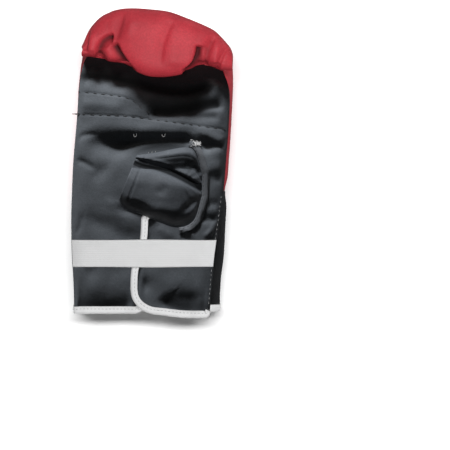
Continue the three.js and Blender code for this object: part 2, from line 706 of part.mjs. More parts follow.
// The elastic across both flaps, arched over the tape of the upper one.
function elastic() {
  const middle = CUFF_EDGE + ELASTIC_FROM_EDGE;
  const [lower, upper] = [[], []];
  for (const row of [-1, 0, 1]) {
    const y = middle + (row * ELASTIC_WIDTH) / 2;
    const sides = sidesAt(y);
    const hump = FLAP_LIFT + TAPE_THICKNESS + GAP;
    for (let j = 0; j <= ELASTIC_COLUMNS; j++) {
      const x = mix(sides.left, sides.right, j / ELASTIC_COLUMNS);
      const over = slitX(middle) - FLAP_OVERLAP / 2;
      const base = seamHeight(y) + PALM_RISE + PALM_THICKNESS / 2 + GAP + palmCrown(x, y);
      const z = base + hump * bump((x - over) / (TAPE_HUMP_REACH * FLAP_REACH)) + GAP;
      lower.push(new THREE.Vector3(x, y, z));
      upper.push(new THREE.Vector3(x, y, z + ELASTIC_THICKNESS));
    }
  }
  return wallSolid(upper, lower, gridQuads(3, ELASTIC_COLUMNS + 1));
}

// Shares along the thumb sleeve from its mouth to its base, closer together towards the base.
const THUMB_SHARES = Array.from(
  { length: THUMB_ROWS + 1 },
  (_, i) => 1 - (1 - i / THUMB_ROWS) ** THUMB_CROWDING,
);

// A point on the thumb sleeve's outline at a share along it, on its finger side (up) or wrist side.
function thumbEdge(share, side) {
  const base = thumbBase();
  const rows = THUMB.map((row, i) => ({ ...row, at: i / (THUMB.length - 1) }));
  const value = (column) => follow(rows, "at", column, share);
  const along = value(`${side}Along`) * THUMB_LENGTH;
  return new THREE.Vector3(base.x - along, base.y + value(side) * THUMB_SPREAD, 0);
}

// One ring of the thumb sleeve, over its top from the finger side and back underneath, set in by a wall.
function thumbRing(share, wall) {
  const base = thumbBase();
  const rows = THUMB.map((row, i) => ({ ...row, at: i / (THUMB.length - 1) }));
  const value = (column) => follow(rows, "at", column, share);
  const [up, down] = [thumbEdge(share, "up"), thumbEdge(share, "down")];
  const width = up.distanceTo(down);
  const inset = Math.min(0.4, (1.6 * wall) / width);
  const height = Math.max(THUMB_HEIGHT * value("height") - 2 * wall, 0.5);
  const floor = ({ x, y }) => {
    const tilt = (THUMB_TILT * Math.max(0, base.x - x)) / THUMB_LENGTH;
    return flapHeight(x, y, 1) + PALM_THICKNESS / 2 + GAP + wall + tilt;
  };
  const ring = [];
  for (let j = 0; j <= THUMB_SIDE; j++) {
    const s = j / THUMB_SIDE;
    const point = up.clone().lerp(down, mix(inset, 1 - inset, s));
    const crease = THUMB_FOLD * value("height") * bump((s - value("fold")) / THUMB_FOLD_WIDE);
    const arch = Math.sin(Math.PI * s) ** THUMB_ARCH_POWER * height;
    point.z = floor(point) + Math.max(arch - crease, 0.35 * arch);
    ring.push(point);
  }
  for (let j = 1; j < THUMB_SIDE; j++) {
    const point = up.clone().lerp(down, mix(1 - inset, inset, j / THUMB_SIDE));
    point.z = floor(point);
    ring.push(point);
  }
  return ring;
}

// The open thumb sleeve, a flattened tube closed at its base, with the way in for the thumb beneath.
function thumbSleeve() {
  const size = 2 * THUMB_SIDE;
  const shell = (wall) => THUMB_SHARES.flatMap((share) => thumbRing(share, wall));
  const [outer, inner] = [shell(0), shell(THUMB_WALL)];
  const faces = [];
  for (let i = 0; i + 1 < THUMB_SHARES.length; i++) {
    for (let j = 0; j < size; j++) {
      const [a, b] = [i * size + j, i * size + ((j + 1) % size)];
      faces.push([a, b, b + size, a + size]);
    }
  }
  const last = (THUMB_SHARES.length - 1) * size;
  for (let j = 0; j < THUMB_SIDE; j++) {
    const face = [j, j + 1, size - j - 1, size - j].map((k) => last + (k % size));
    faces.push([...new Set(face)]);
  }
  const hole = thumbHole();
  const way = new THREE.CylinderGeometry(1, 1, 6 * THUMB_WALL, HOLE_SIDES)
    .rotateX(Math.PI / 2)
    .scale(THUMB_HOLE_WIDE / 2, THUMB_HOLE_LONG / 2, 1)
    .translate(hole.x, hole.y, hole.z);
  return fromSolid(toSolid(facingOut(wallSolid(outer, inner, faces))).subtract(toSolid(way)));
}

function facingOut(geometry) {
  return toSolid(geometry).volume() < 0 ? turnedRound(geometry) : geometry;
}

function turnedRound(geometry) {
  const turned = geometry.clone();
  const index = turned.index.array;
  for (let i = 0; i < index.length; i += 3) [index[i + 1], index[i + 2]] = [index[i + 2], index[i + 1]];
  return turned;
}

// The flat band stitched round the thumb sleeve's base.
function thumbBand() {
  const shares = THUMB_SHARES.filter((share) => share >= THUMB_BAND_FROM);
  const rim = shares.map((share) => thumbEdge(share, "up"));
  for (const share of shares.reverse()) rim.push(thumbEdge(share, "down"));
  const [lower, upper] = [[], []];
  for (const out of [GAP, GAP + THUMB_BAND_WIDTH]) {
    rim.forEach((point, i) => {
      const [before, after] = [rim[Math.max(i - 1, 0)], rim[Math.min(i + 1, rim.length - 1)]];
      const along = after.clone().sub(before).normalize();
      const spot = point.clone().add(new THREE.Vector3(-along.y, along.x, 0).multiplyScalar(out));
      spot.z = flapHeight(spot.x, spot.y, 1) + PALM_THICKNESS / 2 + 2 * GAP;
      lower.push(spot);
      upper.push(spot.clone().setZ(spot.z + THUMB_BAND_THICKNESS));
    });
  }
  return wallSolid(upper, lower, gridQuads(2, rim.length));
}

const red = { color: 0xb3202c, roughness: 0.45, metalness: 0 };
const black = { color: 0x16181b, roughness: 0.4, metalness: 0 };
const white = { color: 0xe6e4df, roughness: 0.75, metalness: 0 };

const PIECES = [
  ["back_pad", backPad, red],
  ["cuff_back", cuffBack, black],
  ["palm_panel", palmPanel, black],
  ["slit_tape", slitTape, white],
  ["back_tape", backTape, white],
  ["elastic_strap", elastic, white],
  ["thumb_sleeve", thumbSleeve, black],
  ["thumb_band", thumbBand, black],
];

const glove = new THREE.Group();
for (const [name, make, look] of PIECES) {
  const mesh = new THREE.Mesh(facingOut(make()), new THREE.MeshStandardMaterial(look));
  mesh.name = name;
  glove.add(mesh);
}

export default glove;
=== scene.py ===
"""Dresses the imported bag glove: red padded back and hood, black palm, thumb sleeve and cuff, white trim."""

import math

import bpy
import numpy as np
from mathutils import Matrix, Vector


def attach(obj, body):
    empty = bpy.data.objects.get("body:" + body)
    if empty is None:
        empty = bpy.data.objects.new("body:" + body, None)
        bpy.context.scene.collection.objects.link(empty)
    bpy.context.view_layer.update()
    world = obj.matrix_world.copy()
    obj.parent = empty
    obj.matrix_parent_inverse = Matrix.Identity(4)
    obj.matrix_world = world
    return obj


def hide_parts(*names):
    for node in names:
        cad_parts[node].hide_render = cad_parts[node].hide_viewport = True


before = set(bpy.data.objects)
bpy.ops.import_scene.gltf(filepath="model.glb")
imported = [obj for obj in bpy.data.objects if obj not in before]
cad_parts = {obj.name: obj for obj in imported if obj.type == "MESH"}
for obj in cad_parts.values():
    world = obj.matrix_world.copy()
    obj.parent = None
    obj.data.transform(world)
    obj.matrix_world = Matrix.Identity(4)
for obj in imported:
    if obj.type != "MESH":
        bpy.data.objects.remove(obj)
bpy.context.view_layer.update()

bl_info = {
    "name": "Padded bag glove",
    "version": (1, 0, 0),
    "blender": (4, 5, 0),
    "location": "3D View > Sidebar > Glove",
    "description": "Builds the covers, trim and stitching of a padded bag glove",
    "category": "Add Mesh",
}

MM = 0.001

# Whole glove
LENGTH = 0.28
HALF_WIDTH = 0.0745
CUFF_LENGTH = 0.113
HOOD_REACH = 0.052
HAND_SEAM_HEIGHT = 0.043
CUFF_SEAM_HEIGHT = 0.032
SEAM_RISES_OVER = 0.75

# Padding and cloth
PAD_THICKNESS = 0.021
PAD_SIDE = 0.018
PAD_TIP = 0.019
PAD_EDGE = 0.005
PAD_CORNER = 0.025
PAD_END_THICKNESS = 0.009
PAD_END_TAPER = 0.05
HOOD_RISE = 0.021
HOOD_WALL = 0.013
HOOD_CREST = 0.25
LIP_REACH = 0.013
LIP_TUCK = 0.35
LIP_ANGLE = 270
OVAL_POWER = 0.86
CUFF_WALL = 0.005
CUFF_CORNER = 0.015
CUFF_SETBACK = 0.003
CUFF_SEAM_SINK = 0.0025
CUFF_SEAM_SPREAD = 0.009
PALM_THICKNESS = 0.002
PALM_CROWN = 0.004
PALM_SHOULDER = 0.016
SHOULDER_POWER = 2.5
DENT_DEPTH = 0.005
DENT_FROM_SEAM = 0.014
TUCKED_UNDER_HOOD = 0.008
GAP = 0.0003

# Slit, its flaps and the white tape
SLIT_LENGTH = 0.104
SLIT_EYE = 0.004
SLIT_CLOSES_IN = 0.013
FLAP_OVERLAP = 0.012
FLAP_DROP = 0.004
FLAP_LIFT = 0.0015
FLAP_REACH = 0.026
FLAP_PARTS_IN = 0.012
LEFT_FLAP_ROUND = 0.011
RIGHT_FLAP_ROUND = 0.021
RIGHT_FLAP_SAG = 0.004
RIGHT_FLAP_CORNER = 0.0045
TAPE_WIDTH = 0.0066
TAPE_UNDER = 0.0032
TAPE_THICKNESS = 0.0011

# Elastic
ELASTIC_WIDTH = 0.025
ELASTIC_THICKNESS = 0.0015
ELASTIC_FROM_EDGE = 0.0555
TAPE_HUMP_REACH = 1.6

# Thumb sleeve
THUMB_LENGTH = 0.068
THUMB_SPREAD = 0.037
THUMB_HEIGHT = 0.0185
THUMB_WALL = 0.0018
THUMB_TILT = 0.003
THUMB_FROM_EDGE = 0.12
THUMB_FROM_SEAM = 0.0195
THUMB_BAND_WIDTH = 0.006
THUMB_BAND_THICKNESS = 0.0012
THUMB_BAND_FROM = 0.68
THUMB_HOLE_LONG = 0.036
THUMB_HOLE_WIDE = 0.018
THUMB_HOLE_FROM_BASE = 0.0204
THUMB_HOLE_DOWN = 0.0037
THUMB_FLAT_LONG = 0.044
THUMB_FLAT_WIDE = 0.035
THUMB_FLAT_FADE = 0.3
HEM_WIDTH = 0.0075
HEM_RAISE = 0.00035
HEM_SEAM_DEPTH = 0.0005
GATHERS = 16
GATHER_DEPTH = 0.00022

# Vent holes
VENT_DIAMETER = 0.0024
VENT_SPACING = 0.026
VENT_FROM_HOOD = 0.064
VENT_FROM_MIDDLE = -0.002

# Stitches: spacing, length and thickness
TAPE_STITCH = (0.0034, 0.0022, 0.0005)
TAPE_STITCH_INSET = 0.62 * TAPE_WIDTH
CUFF_STITCH = (0.0042, 0.0024, 0.0004)
CUFF_STITCH_INSET = 0.0012
BAND_STITCH = (0.004, 0.0028, 0.0005)

# Ribs, rims and threads
RIB_WAVES = 14
RIB_RELIEF = 0.00009
RIB_RADIUS = 0.00017
RIB_SINK = 0.00005
RIB_COUNT = 27
RIB_SPREAD = 0.93
VENT_RIM_RADIUS = 0.00022
LOOSE_THREAD_RADIUS = 0.00038
LOOSE_THREAD_LIFT = 0.0025
TUFT_FOOT = (0.041, 0.0163)
TUFT_PLACE = (0.0412, 0.0162)
TUFT_COUNT = 110
TUFT_SPREAD = np.array([0.0015, 0.0009, 0.0005])
TUFT_REACH = np.array([0.0011, 0.0008, 0.0005])
TUFT_CURL = 0.00045
TUFT_RISE = np.array([0, 0, 0.0008])
TUFT_RADIUS = 0.0003
TICK_RADIUS = 0.0003
TICK_LENGTH = 0.0017
TICK_LEAN = 0.0002
TICK_LIFT = 0.0006

# Wrinkles: height, size and seed
PALM_FINE_WRINKLES = (0.00025, 0.0045, 3)
PALM_WIDE_WRINKLES = (0.0005, 0.012, 5)
BACK_WIDE_WRINKLES = (0.0007, 0.014, 11)
BACK_FINE_WRINKLES = (0.00016, 0.004, 12)
CUFF_WRINKLES = (0.0009, 0.011, 21)
TAPE_RIPPLE = (0.00012, 0.0026, 41)
ELASTIC_PULL = (0.00035, 0.014, 51)
THUMB_FINE_WRINKLES = (0.00022, 0.004, 61)
THUMB_WIDE_WRINKLES = (0.00045, 0.009, 62)
BAND_WRINKLES = (0.00025, 0.003, 71)

# Hood's folds: the turns in degrees between which they come in, and between which they ease at the
# lip; then how deep they may go, as a share of the hood's height there and below it
HOOD_FOLDS_IN = (105, 145)
LIP_FOLDS_EASE = (250, 270)
DEEPEST_SHARE = 0.62
DEEPEST_BELOW = 0.002

# Depths at which a crease's painted shade is full on each piece
HOOD_FULL_SHADE = 0.0065
PALM_FULL_SHADE = 0.003
THUMB_FULL_SHADE = 0.005

# Fineness of the meshes
HAND_ROWS = 40
HOOD_ROWS = 136
COVER_COLUMNS = 240
CUFF_ROWS = 84
CUFF_COLUMNS = 180
FLAP_ROWS = 96
PALM_ROWS = 128
PALM_COLUMNS = 66
ELASTIC_ROWS = 40
ELASTIC_COLUMNS = 190
THUMB_ROWS = 72
THUMB_COLUMNS = 72

# Gleam and depth of grain of the vinyls
RED_GLEAM = 0.24
BLACK_GLEAM = 0.5
TRIM_GLEAM = 0.6
RED_GRAIN = 0.00022
BLACK_GRAIN = 0.00014

# Stage: each light's place and size, and how wide the camera's picture is at a level
FLOOR_HALF = 30.0
FLOOR_DEPTH = 0.0003
AIM = (0, 0.02, 0.03)
KEY_DISTANCE = 1.6
KEY_SIZE = (0.5, 0.12)
GLOSS_LIGHT = (-0.5, 1.3, 0.8), (0.5, 0.2)
SOFT_LIGHT = (0.25, 0.72, 1.45), (0.45, 0.45)
FRONT_LIGHT = (0.2, -0.55, 1.5), (0.6, 0.6)
OVERHEAD_LIGHT = (-0.5, 0.1, 1.6), (0.7, 0.7)
FLOOR_LIGHT = (0, 0.38, 1.6), (2.1, 0.4)
CAMERA_PLACE = (0.0672, -0.0584, 2.54)
SENSOR_WIDTH = 36
PICTURE_WIDTH = 0.41265
PICTURE_LEVEL = 0.04

# Places that follow from the sizes
CUFF_EDGE = -LENGTH / 2
PALM_TOP = LENGTH / 2 - HOOD_REACH
PAD_END = CUFF_EDGE + CUFF_LENGTH
PALM_BOTTOM = CUFF_EDGE + GAP + TAPE_THICKNESS
SLIT_TOP = CUFF_EDGE + SLIT_LENGTH
PALM_RISE = GAP + PALM_THICKNESS / 2

# Shares of the way across, from the middle to a seam, where the floor and the corner end
BOTTOM_SHARE = 0.62
CORNER_SHARE = 0.86

# Side seams: share of the way up, left and right seam, and how far the side bulges past each
SIDES = np.array([
    (0, -0.95, 0.705, 0.008, 0.13),
    (0.137, -0.962, 0.742, 0.01, 0.11),
    (0.241, -0.98, 0.772, 0.01, 0.125),
    (0.377, -0.986, 0.833, 0.012, 0.085),
    (0.5, -0.974, 0.88, 0.012, 0.06),
    (0.618, -0.956, 0.91, 0.012, 0.047),
    (0.78, -0.912, 0.946, 0.014, 0.034),
    (0.912, -0.882, 0.945, 0.02, 0.055),
    (1, -0.84, 0.85, 0.035, 0.145),
    (1.04, -0.79, 0.84, 0.065, 0.15),
])

# Palm's top edge under the hood: place across, and how far it lies past its middle
TOP_EDGE = np.array([
    (-0.85, 0.22), (-0.66, 0.18), (-0.43, 0.09), (0, 0),
    (0.5, 0.02), (0.68, 0.05), (0.82, -0.01), (0.9, -0.09),
])

# Hood: place across, reach of the tip, rise over the palm, overhang of the lip
HOOD = np.array([
    (-1, 0.3, 0.15, 0.31), (-0.93, 0.31, 0.36, 0.3), (-0.86, 0.32, 0.5, 0.28),
    (-0.8, 0.4, 0.57, 0.25), (-0.74, 0.63, 0.62, 0.25), (-0.68, 0.82, 0.67, 0.25),
    (-0.62, 0.92, 0.72, 0.25), (-0.44, 0.985, 0.86, 0.32), (-0.26, 1, 0.97, 0.66),
    (-0.05, 0.987, 1, 0.96), (0.2, 0.938, 1, 1), (0.42, 0.821, 0.95, 0.75),
    (0.56, 0.732, 0.84, 0.3), (0.6, 0.705, 0.8, 0.28), (0.62, 0.69, 0.78, 0.27),
    (0.64, 0.662, 0.76, 0.27), (0.68, 0.585, 0.72, 0.26), (0.74, 0.42, 0.64, 0.25),
    (0.8, 0.29, 0.55, 0.25), (0.86, 0.17, 0.45, 0.25), (1, 0.06, 0.15, 0.23),
])

# Dents of the palm: x, y, half length, half width, turn in degrees, depth
DENTS = [
    (0.03, 0.672, 0.95, 0.135, -2.5, 0.72),
    (-0.1, 0.738, 0.9, 0.1, -5, -0.22),
    (0, 0.93, 0.85, 0.12, -3, 0.5),
    (-0.63, 0.57, 0.17, 0.1, 35, 0.25),
    (-0.5, 0.335, 0.42, 0.12, -24, 0.3),
    (-0.45, 0.43, 0.3, 0.15, -24, -0.15),
    (0.8, 0.44, 0.1, 0.09, 5, 0.12),
    (-0.8, 0.17, 0.12, 0.1, 0, 0.3),
    (-0.1, 0.115, 0.12, 0.1, 20, 0.36),
    (0.45, 0.01, 0.4, 0.17, -8, 0.42),
    (-0.62, 0.0, 0.42, 0.18, 9, 0.5),
]

SLIT_LINE = np.array([
    (0, -0.02), (0.15, -0.03), (0.35, -0.05), (0.6, -0.15), (0.75, -0.165), (1, -0.16),
])

# Thumb sleeve from mouth to base: place, finger side along and out, wrist side along and out, height
THUMB = np.array([
    (0, 0.878, 0.69, 1.12, -0.43, 0.68), (1, 0.76, 0.72, 1.045, -0.64, 0.76),
    (2, 0.6, 0.765, 0.8, -0.8, 0.82), (3, 0.4, 0.84, 0.57, -0.98, 1),
    (4, 0.2, 0.88, 0.334, -1.1, 0.95), (5, 0.09, 0.74, 0.12, -0.92, 0.66),
    (6, 0.005, 0.2, 0.01, -0.32, 0.22),
])

# Thumb sleeve's section: share of the way across from the finger side, and share of its height
THUMB_PROFILE = np.array([
    (0, 0), (0.03, 0.33), (0.07, 0.55), (0.16, 0.51), (0.26, 0.44), (0.33, 0.59), (0.42, 0.76),
    (0.5, 0.86), (0.6, 0.9), (0.72, 0.91), (0.82, 0.87), (0.9, 0.72), (0.96, 0.42), (1, 0),
])

# Short stitches beside the thumb sleeve, in millimetres
THUMB_TICKS = np.array([(-3, 6.6), (0.2, 7.2), (3.4, 7.6), (-15, -1.2), (-12, 0)])

# Creases seen from above, in millimetres: the line, its width to the left and to the right of the way
# it runs, its depth (less than nothing is a ridge), and the shares of its length over which it fades.
# A crease also darkens the vinyl, which stands for the shade that gathers in it.
HOOD_CREASES = [
    ([(-53, 131), (-56.5, 124), (-58, 114.6), (-59.1, 103.5), (-59.4, 98)], 1.3, 4, 3.4, 0.3, 0.1),
    ([(-49, 92), (-48, 97), (-47.3, 104), (-44.2, 110), (-38.8, 113.6), (-34, 113.8)], 2, 7, 5, 0.1, 0.1),
    ([(-34.4, 108), (-31.9, 104), (-28.6, 96.8), (-24, 89.1), (-17.5, 80.7)], 2.2, 6, 6, 0.12, 0),
    ([(-43, 104), (-41, 99), (-40, 93)], 5, 5, -1.8, 0.3, 0),
    ([(-23, 139), (-25.5, 134), (-29, 121), (-32.5, 109)], 2.8, 6.5, 2.1, 0.3, 0.1),
    ([(-16, 134), (-20, 120), (-24, 108)], 5, 4, -1, 0.4, 0.4),
    ([(20.5, 129), (14.8, 117), (10.3, 103.5), (8.1, 81.3)], 2.6, 7.5, 1.5, 0.12, 0.35),
    ([(25, 120), (20, 105), (18, 84)], 7, 5, -1, 0.4, 0.2),
    ([(43.6, 105.5), (42.6, 98), (39.6, 88.5), (33.7, 82.4), (26.8, 79)], 5.2, 2, 6.4, 0.06, 0.25),
    ([(47, 104), (48.2, 97), (47.5, 88)], 2.2, 2.2, -1.4, 0.3, 0.1),
    ([(60, 116), (57, 110.4), (53.4, 102.1), (50.3, 91.1), (49, 86)], 1.6, 4.6, 3.6, 0.25, 0),
    ([(63, 111), (60, 101), (58, 88)], 3, 3, -1.4, 0.4, 0.1),
    ([(70.5, 106), (68.1, 101), (64.5, 94), (61.5, 86.8)], 1.3, 3, 2.4, 0.3, 0),
    ([(-53.5, 118), (-54, 108), (-55, 98)], 3.5, 3.5, -1.2, 0.4, 0.2),
]
STITCHED_ROWS = [
    ([(-66, 63.3), (-41.5, 60.8), (-26.2, 58.7), (-17, 55.1), (-10.9, 50), (-3.7, 44.9)],
     1, 1, 0.35, 0, 0.2),
    ([(-69, 42.9), (-41.5, 41.9), (-21.1, 40.9), (2.3, 37.8), (30, 34.2), (66, 29)], 1, 1, 0.35, 0, 0),
]
PALM_CREASES = [
    *STITCHED_ROWS,
    # In the next six rows the painted shade stands for more than the shade in a crease. The first two and the
    # sixth paint the hood's cast shadow on the upper palm, the third paints the shade in the valley above the
    # thumb sleeve, and the fourth and fifth paint the shade along the cuff's lower edge. Their relief is real
    # geometry.
    ([(-6, 44), (17, 43), (36, 46), (52, 50), (68, 51)], 10, 4, 3, 0.15, 0.12),
    ([(26, 41), (45, 41), (64, 40)], 5, 4, 1.4, 0.3, 0.2),
    ([(-54, 14), (-22, 14), (0, 15.5), (17, 16.5), (31, 18.5), (42, 22)], 8, 12, 2.2, 0.3, 0.15),
    ([(-70, -131), (-40, -135), (-15, -138)], 13, 8, 2.5, 0.04, 0.2),
    ([(6, -122), (14, -131), (32, -136), (60, -135)], 13, 6, 2.1, 0.2, 0.04),
    ([(-70, 79), (-36, 76), (-10, 68), (30, 62), (62, 70)], 10, 7, 2.3, 0.05, 0.1),
    ([(-66, 53), (-40, 51), (-22, 48)], 6, 6, -1.1, 0.1, 0.3),
    ([(38, 30), (52, 24), (66, 17)], 5, 3.5, -1.1, 0.4, 0.1),
    ([(44, 13), (56, 14), (66, 15.5)], 3, 4, 0.8, 0.4, 0),
    ([(46, 6), (57, 7), (65, 9)], 3.5, 5, -0.7, 0.3, 0.2),
    ([(48, -7), (58, -6), (66, -5)], 8, 6, -1, 0.3, 0),
    ([(50, -15), (58, -16.5), (66, -18)], 7, 5, 0.6, 0.2, 0),
    ([(51, -38), (58, -39.5), (65, -40)], 5, 4, 0.9, 0.2, 0),
    ([(44, -51.5), (52, -53), (60, -54)], 5, 4, 1.1, 0.2, 0),
    ([(60, -55), (55.5, -62.5), (47, -71)], 2.4, 2.4, -1, 0.1, 0.3),
    ([(26, -63), (30, -69), (33, -74)], 1.8, 1.8, 0.6, 0.2, 0.4),
    ([(31, -61), (36, -66), (37, -72)], 1.8, 1.8, -0.6, 0.2, 0.4),
    ([(6, -58), (12, -65), (22, -70)], 4, 4, -0.5, 0.3, 0.4),
    ([(20, -122), (36, -125), (50, -121)], 8, 5, 0.9, 0.4, 0.4),
    ([(-70, -70), (-66, -60), (-64, -44)], 2.5, 2.5, 0.8, 0.4, 0.4),
    ([(-70, 20), (-60, 24), (-46, 25)], 3, 3, 0.8, 0.1, 0.5),
    ([(-71, 2), (-60, -2), (-50, -9)], 3, 3, 0.9, 0.1, 0.4),
]
THUMB_CREASES = [
    ([(-18, 4), (-10.5, -1), (8, -6), (25, -13), (46, -24.5)], 2, 4, 6.5, 0, 0),
    ([(-14, 4), (-5, 2), (10, -1.5), (22, -7)], 1.8, 1.8, -1.1, 0.05, 0.5),
    ([(15, -20), (10, -27), (7, -33)], 4.5, 4.5, 1, 0.4, 0.4),
    ([(44, -34), (36, -40), (26, -50)], 3.5, 3, 2, 0.2, 0.4),
    ([(46, -12), (38, -6), (30, -1)], 2.5, 3, 1.3, 0.1, 0.5),
    ([(-24, -36), (-10, -40), (6, -47)], 2.6, 3.4, 0.8, 0.3, 0.4),
]


def clamp(value, low, high):
    return np.minimum(np.maximum(value, low), high)


def mix(a, b, share):
    return a + (b - a) * share


def smooth(value):
    t = clamp(value, 0, 1)
    return t * t * (3 - 2 * t)


def smooth_between(value, low, high):
    return smooth((value - low) / (high - low))


def bump(distance):
    return np.exp(-distance * distance)


def follow(table, column, at):
    """The value of a table's column at a place, on a smooth curve through its rows."""
    place, value = table[:, 0], table[:, column]
    at = np.asarray(at, float)
    i = np.searchsorted(place[1:-1], at)
    before, after = np.maximum(i - 1, 0), np.minimum(i + 2, len(place) - 1)
    span = place[i + 1] - place[i]
    t = clamp((at - place[i]) / span, 0, 1)
    leaving = (value[i + 1] - value[before]) / (place[i + 1] - place[before]) * span
    arriving = (value[after] - value[i]) / (place[after] - place[i]) * span
    return (
        (2 * t**3 - 3 * t**2 + 1) * value[i]
        + (t**3 - 2 * t**2 + t) * leaving
        + (3 * t**2 - 2 * t**3) * value[i + 1]
        + (t**3 - t**2) * arriving
    )


def curve_through(points, count):
    """count points on a smooth curve through the given ones."""
    points = np.asarray(points, float)
    along = np.concatenate([[0], np.cumsum(np.linalg.norm(np.diff(points, axis=0), axis=1))])
    table = np.column_stack([along, points])
    at = np.linspace(0, along[-1], count)
    return np.stack([follow(table, k + 1, at) for k in range(points.shape[1])], axis=-1)


def crease_depth(x, y, creases):
    """How deep the creases are at places seen from above, in metres."""
    flat = np.stack([np.ravel(x), np.ravel(y)], axis=-1) / MM
    depth = np.zeros(len(flat))
    for points, left, right, deep, fade_in, fade_out in creases:
        line = curve_through(points, 20)
        reach = 2.6 * max(left, right)
        low, high = line.min(0) - reach, line.max(0) + reach
        near = np.nonzero(np.all((flat > low) & (flat < high), axis=1))[0]
        if not len(near):
            continue
        spot = flat[near]
        best = np.full(len(near), np.inf)
        side, share = np.zeros(len(near)), np.zeros(len(near))
        for k in range(len(line) - 1):
            start, way = line[k], line[k + 1] - line[k]
            t = clamp(((spot - start) @ way) / (way @ way), 0, 1)
            off = spot - start - t[:, None] * way
            far = np.hypot(off[:, 0], off[:, 1])
            nearer = far < best
            best = np.where(nearer, far, best)
            side = np.where(nearer, way[0] * off[:, 1] - way[1] * off[:, 0], side)
            share = np.where(nearer, (k + t) / (len(line) - 1), share)
        wide = np.where(side > 0, left, right)
        ends = np.ones(len(near))
        if fade_in:
            ends = ends * smooth(share / fade_in)
        if fade_out:
            ends = ends * smooth((1 - share) / fade_out)
        depth[near] += deep * MM * ends * bump(best / wide)
    return depth.reshape(np.shape(x))


def wrinkles(x, y, height, size, seed):
    """Soft random heights, up and down, that are the same each run."""
    rng = np.random.default_rng(seed)
    total = np.zeros(np.shape(x))
    for _ in range(14):
        turn = rng.uniform(0, math.pi)
        scale = size * rng.uniform(0.6, 1.7)
        shift = rng.uniform(0, 2 * math.pi)
        way = x * math.cos(turn) + y * math.sin(turn)
        across = y * math.cos(turn) - x * math.sin(turn)
        bend = 0.8 * np.sin(across / (1.7 * scale) + 2 * shift)
        total += np.sin(way / scale + bend + shift)
    return height * total / 7


# The glove's surfaces


def seam_height(y):
    return mix(CUFF_SEAM_HEIGHT, HAND_SEAM_HEIGHT, smooth((y - CUFF_EDGE) / (SEAM_RISES_OVER * LENGTH)))


def sides_at(y):
    """The left and right side seams, and how far the sides bulge past them."""
    at = (np.asarray(y, float) - CUFF_EDGE) / (PALM_TOP - CUFF_EDGE)
    return [HALF_WIDTH * follow(SIDES, column, at) for column in (1, 2, 3, 4)]


def palm_top_at(x):
    return PALM_TOP + HOOD_REACH * follow(TOP_EDGE, 1, x / HALF_WIDTH)


def trough(y, across, corner, wall=None):
    """Points of the trough that carries the palm: its outside, or its inside where a wall is given."""
    y, across = np.broadcast_arrays(np.asarray(y, float), np.asarray(across, float))
    left, right, left_roll, right_roll = sides_at(y)
    side_wall, floor_wall = wall if wall else (0, 0)
    sign = np.where(across < 0, -1, 1)
    seam = np.abs(np.where(across < 0, left, right))
    roll = np.where(across < 0, left_roll, right_roll)
    top = seam_height(y)
    sink = CUFF_SEAM_SINK * bump((y - PAD_END) / CUFF_SEAM_SPREAD)
    from_tape = y - CUFF_EDGE - CUFF_SETBACK - TAPE_WIDTH
    over_tape = (TAPE_THICKNESS + GAP) * smooth(1 - from_tape / (2 * TAPE_WIDTH))
    reach = seam + roll - sink - side_wall
    edge = seam - (PAD_EDGE if wall else 0)
    floor = sink + over_tape + floor_wall
    radius = np.minimum(corner, 0.45 * (top - floor)) if wall else corner + 0 * y
    share = np.abs(across)
    turn = clamp((share - BOTTOM_SHARE) / (CORNER_SHARE - BOTTOM_SHARE), 0, 1) * math.pi / 2
    up = clamp((share - CORNER_SHARE) / (1 - CORNER_SHARE), 0, 1)
    low_x = (reach - radius) * share / BOTTOM_SHARE
    turn_x = reach - radius + radius * np.sin(turn)
    turn_z = floor + radius * (1 - np.cos(turn))
    side_x = mix(reach, edge, up * up)
    side_z = mix(floor + radius, top, up)
    low, cornered = share < BOTTOM_SHARE, share < CORNER_SHARE
    out = np.where(low, low_x, np.where(cornered, turn_x, side_x))
    height = np.where(low, floor, np.where(cornered, turn_z, side_z))
    return np.stack([sign * out, y, height], axis=-1)


def pad_wall(y):
    """The pad's thickness at the side and on the floor, thinner towards the cuff."""
    full = smooth((y - PAD_END) / PAD_END_TAPER)
    return mix(PAD_END_THICKNESS, PAD_SIDE, full), mix(PAD_END_THICKNESS, PAD_THICKNESS, full)


def pad_top_at(across, inside):
    """How far up the glove the trough goes before the hood turns over."""
    left, right, _, _ = sides_at(PALM_TOP)
    wall = pad_wall(PALM_TOP) if inside else None
    x = trough(PALM_TOP, across, PAD_CORNER, wall)[..., 0]
    return palm_top_at(clamp(x, left, right))


def quarter_oval(degrees):
    """Shares along and up a quarter of a slightly squared oval."""
    turn = np.radians(clamp(degrees, 0, 90))
    return np.maximum(np.cos(turn), 0) ** OVAL_POWER, np.maximum(np.sin(turn), 0) ** OVAL_POWER


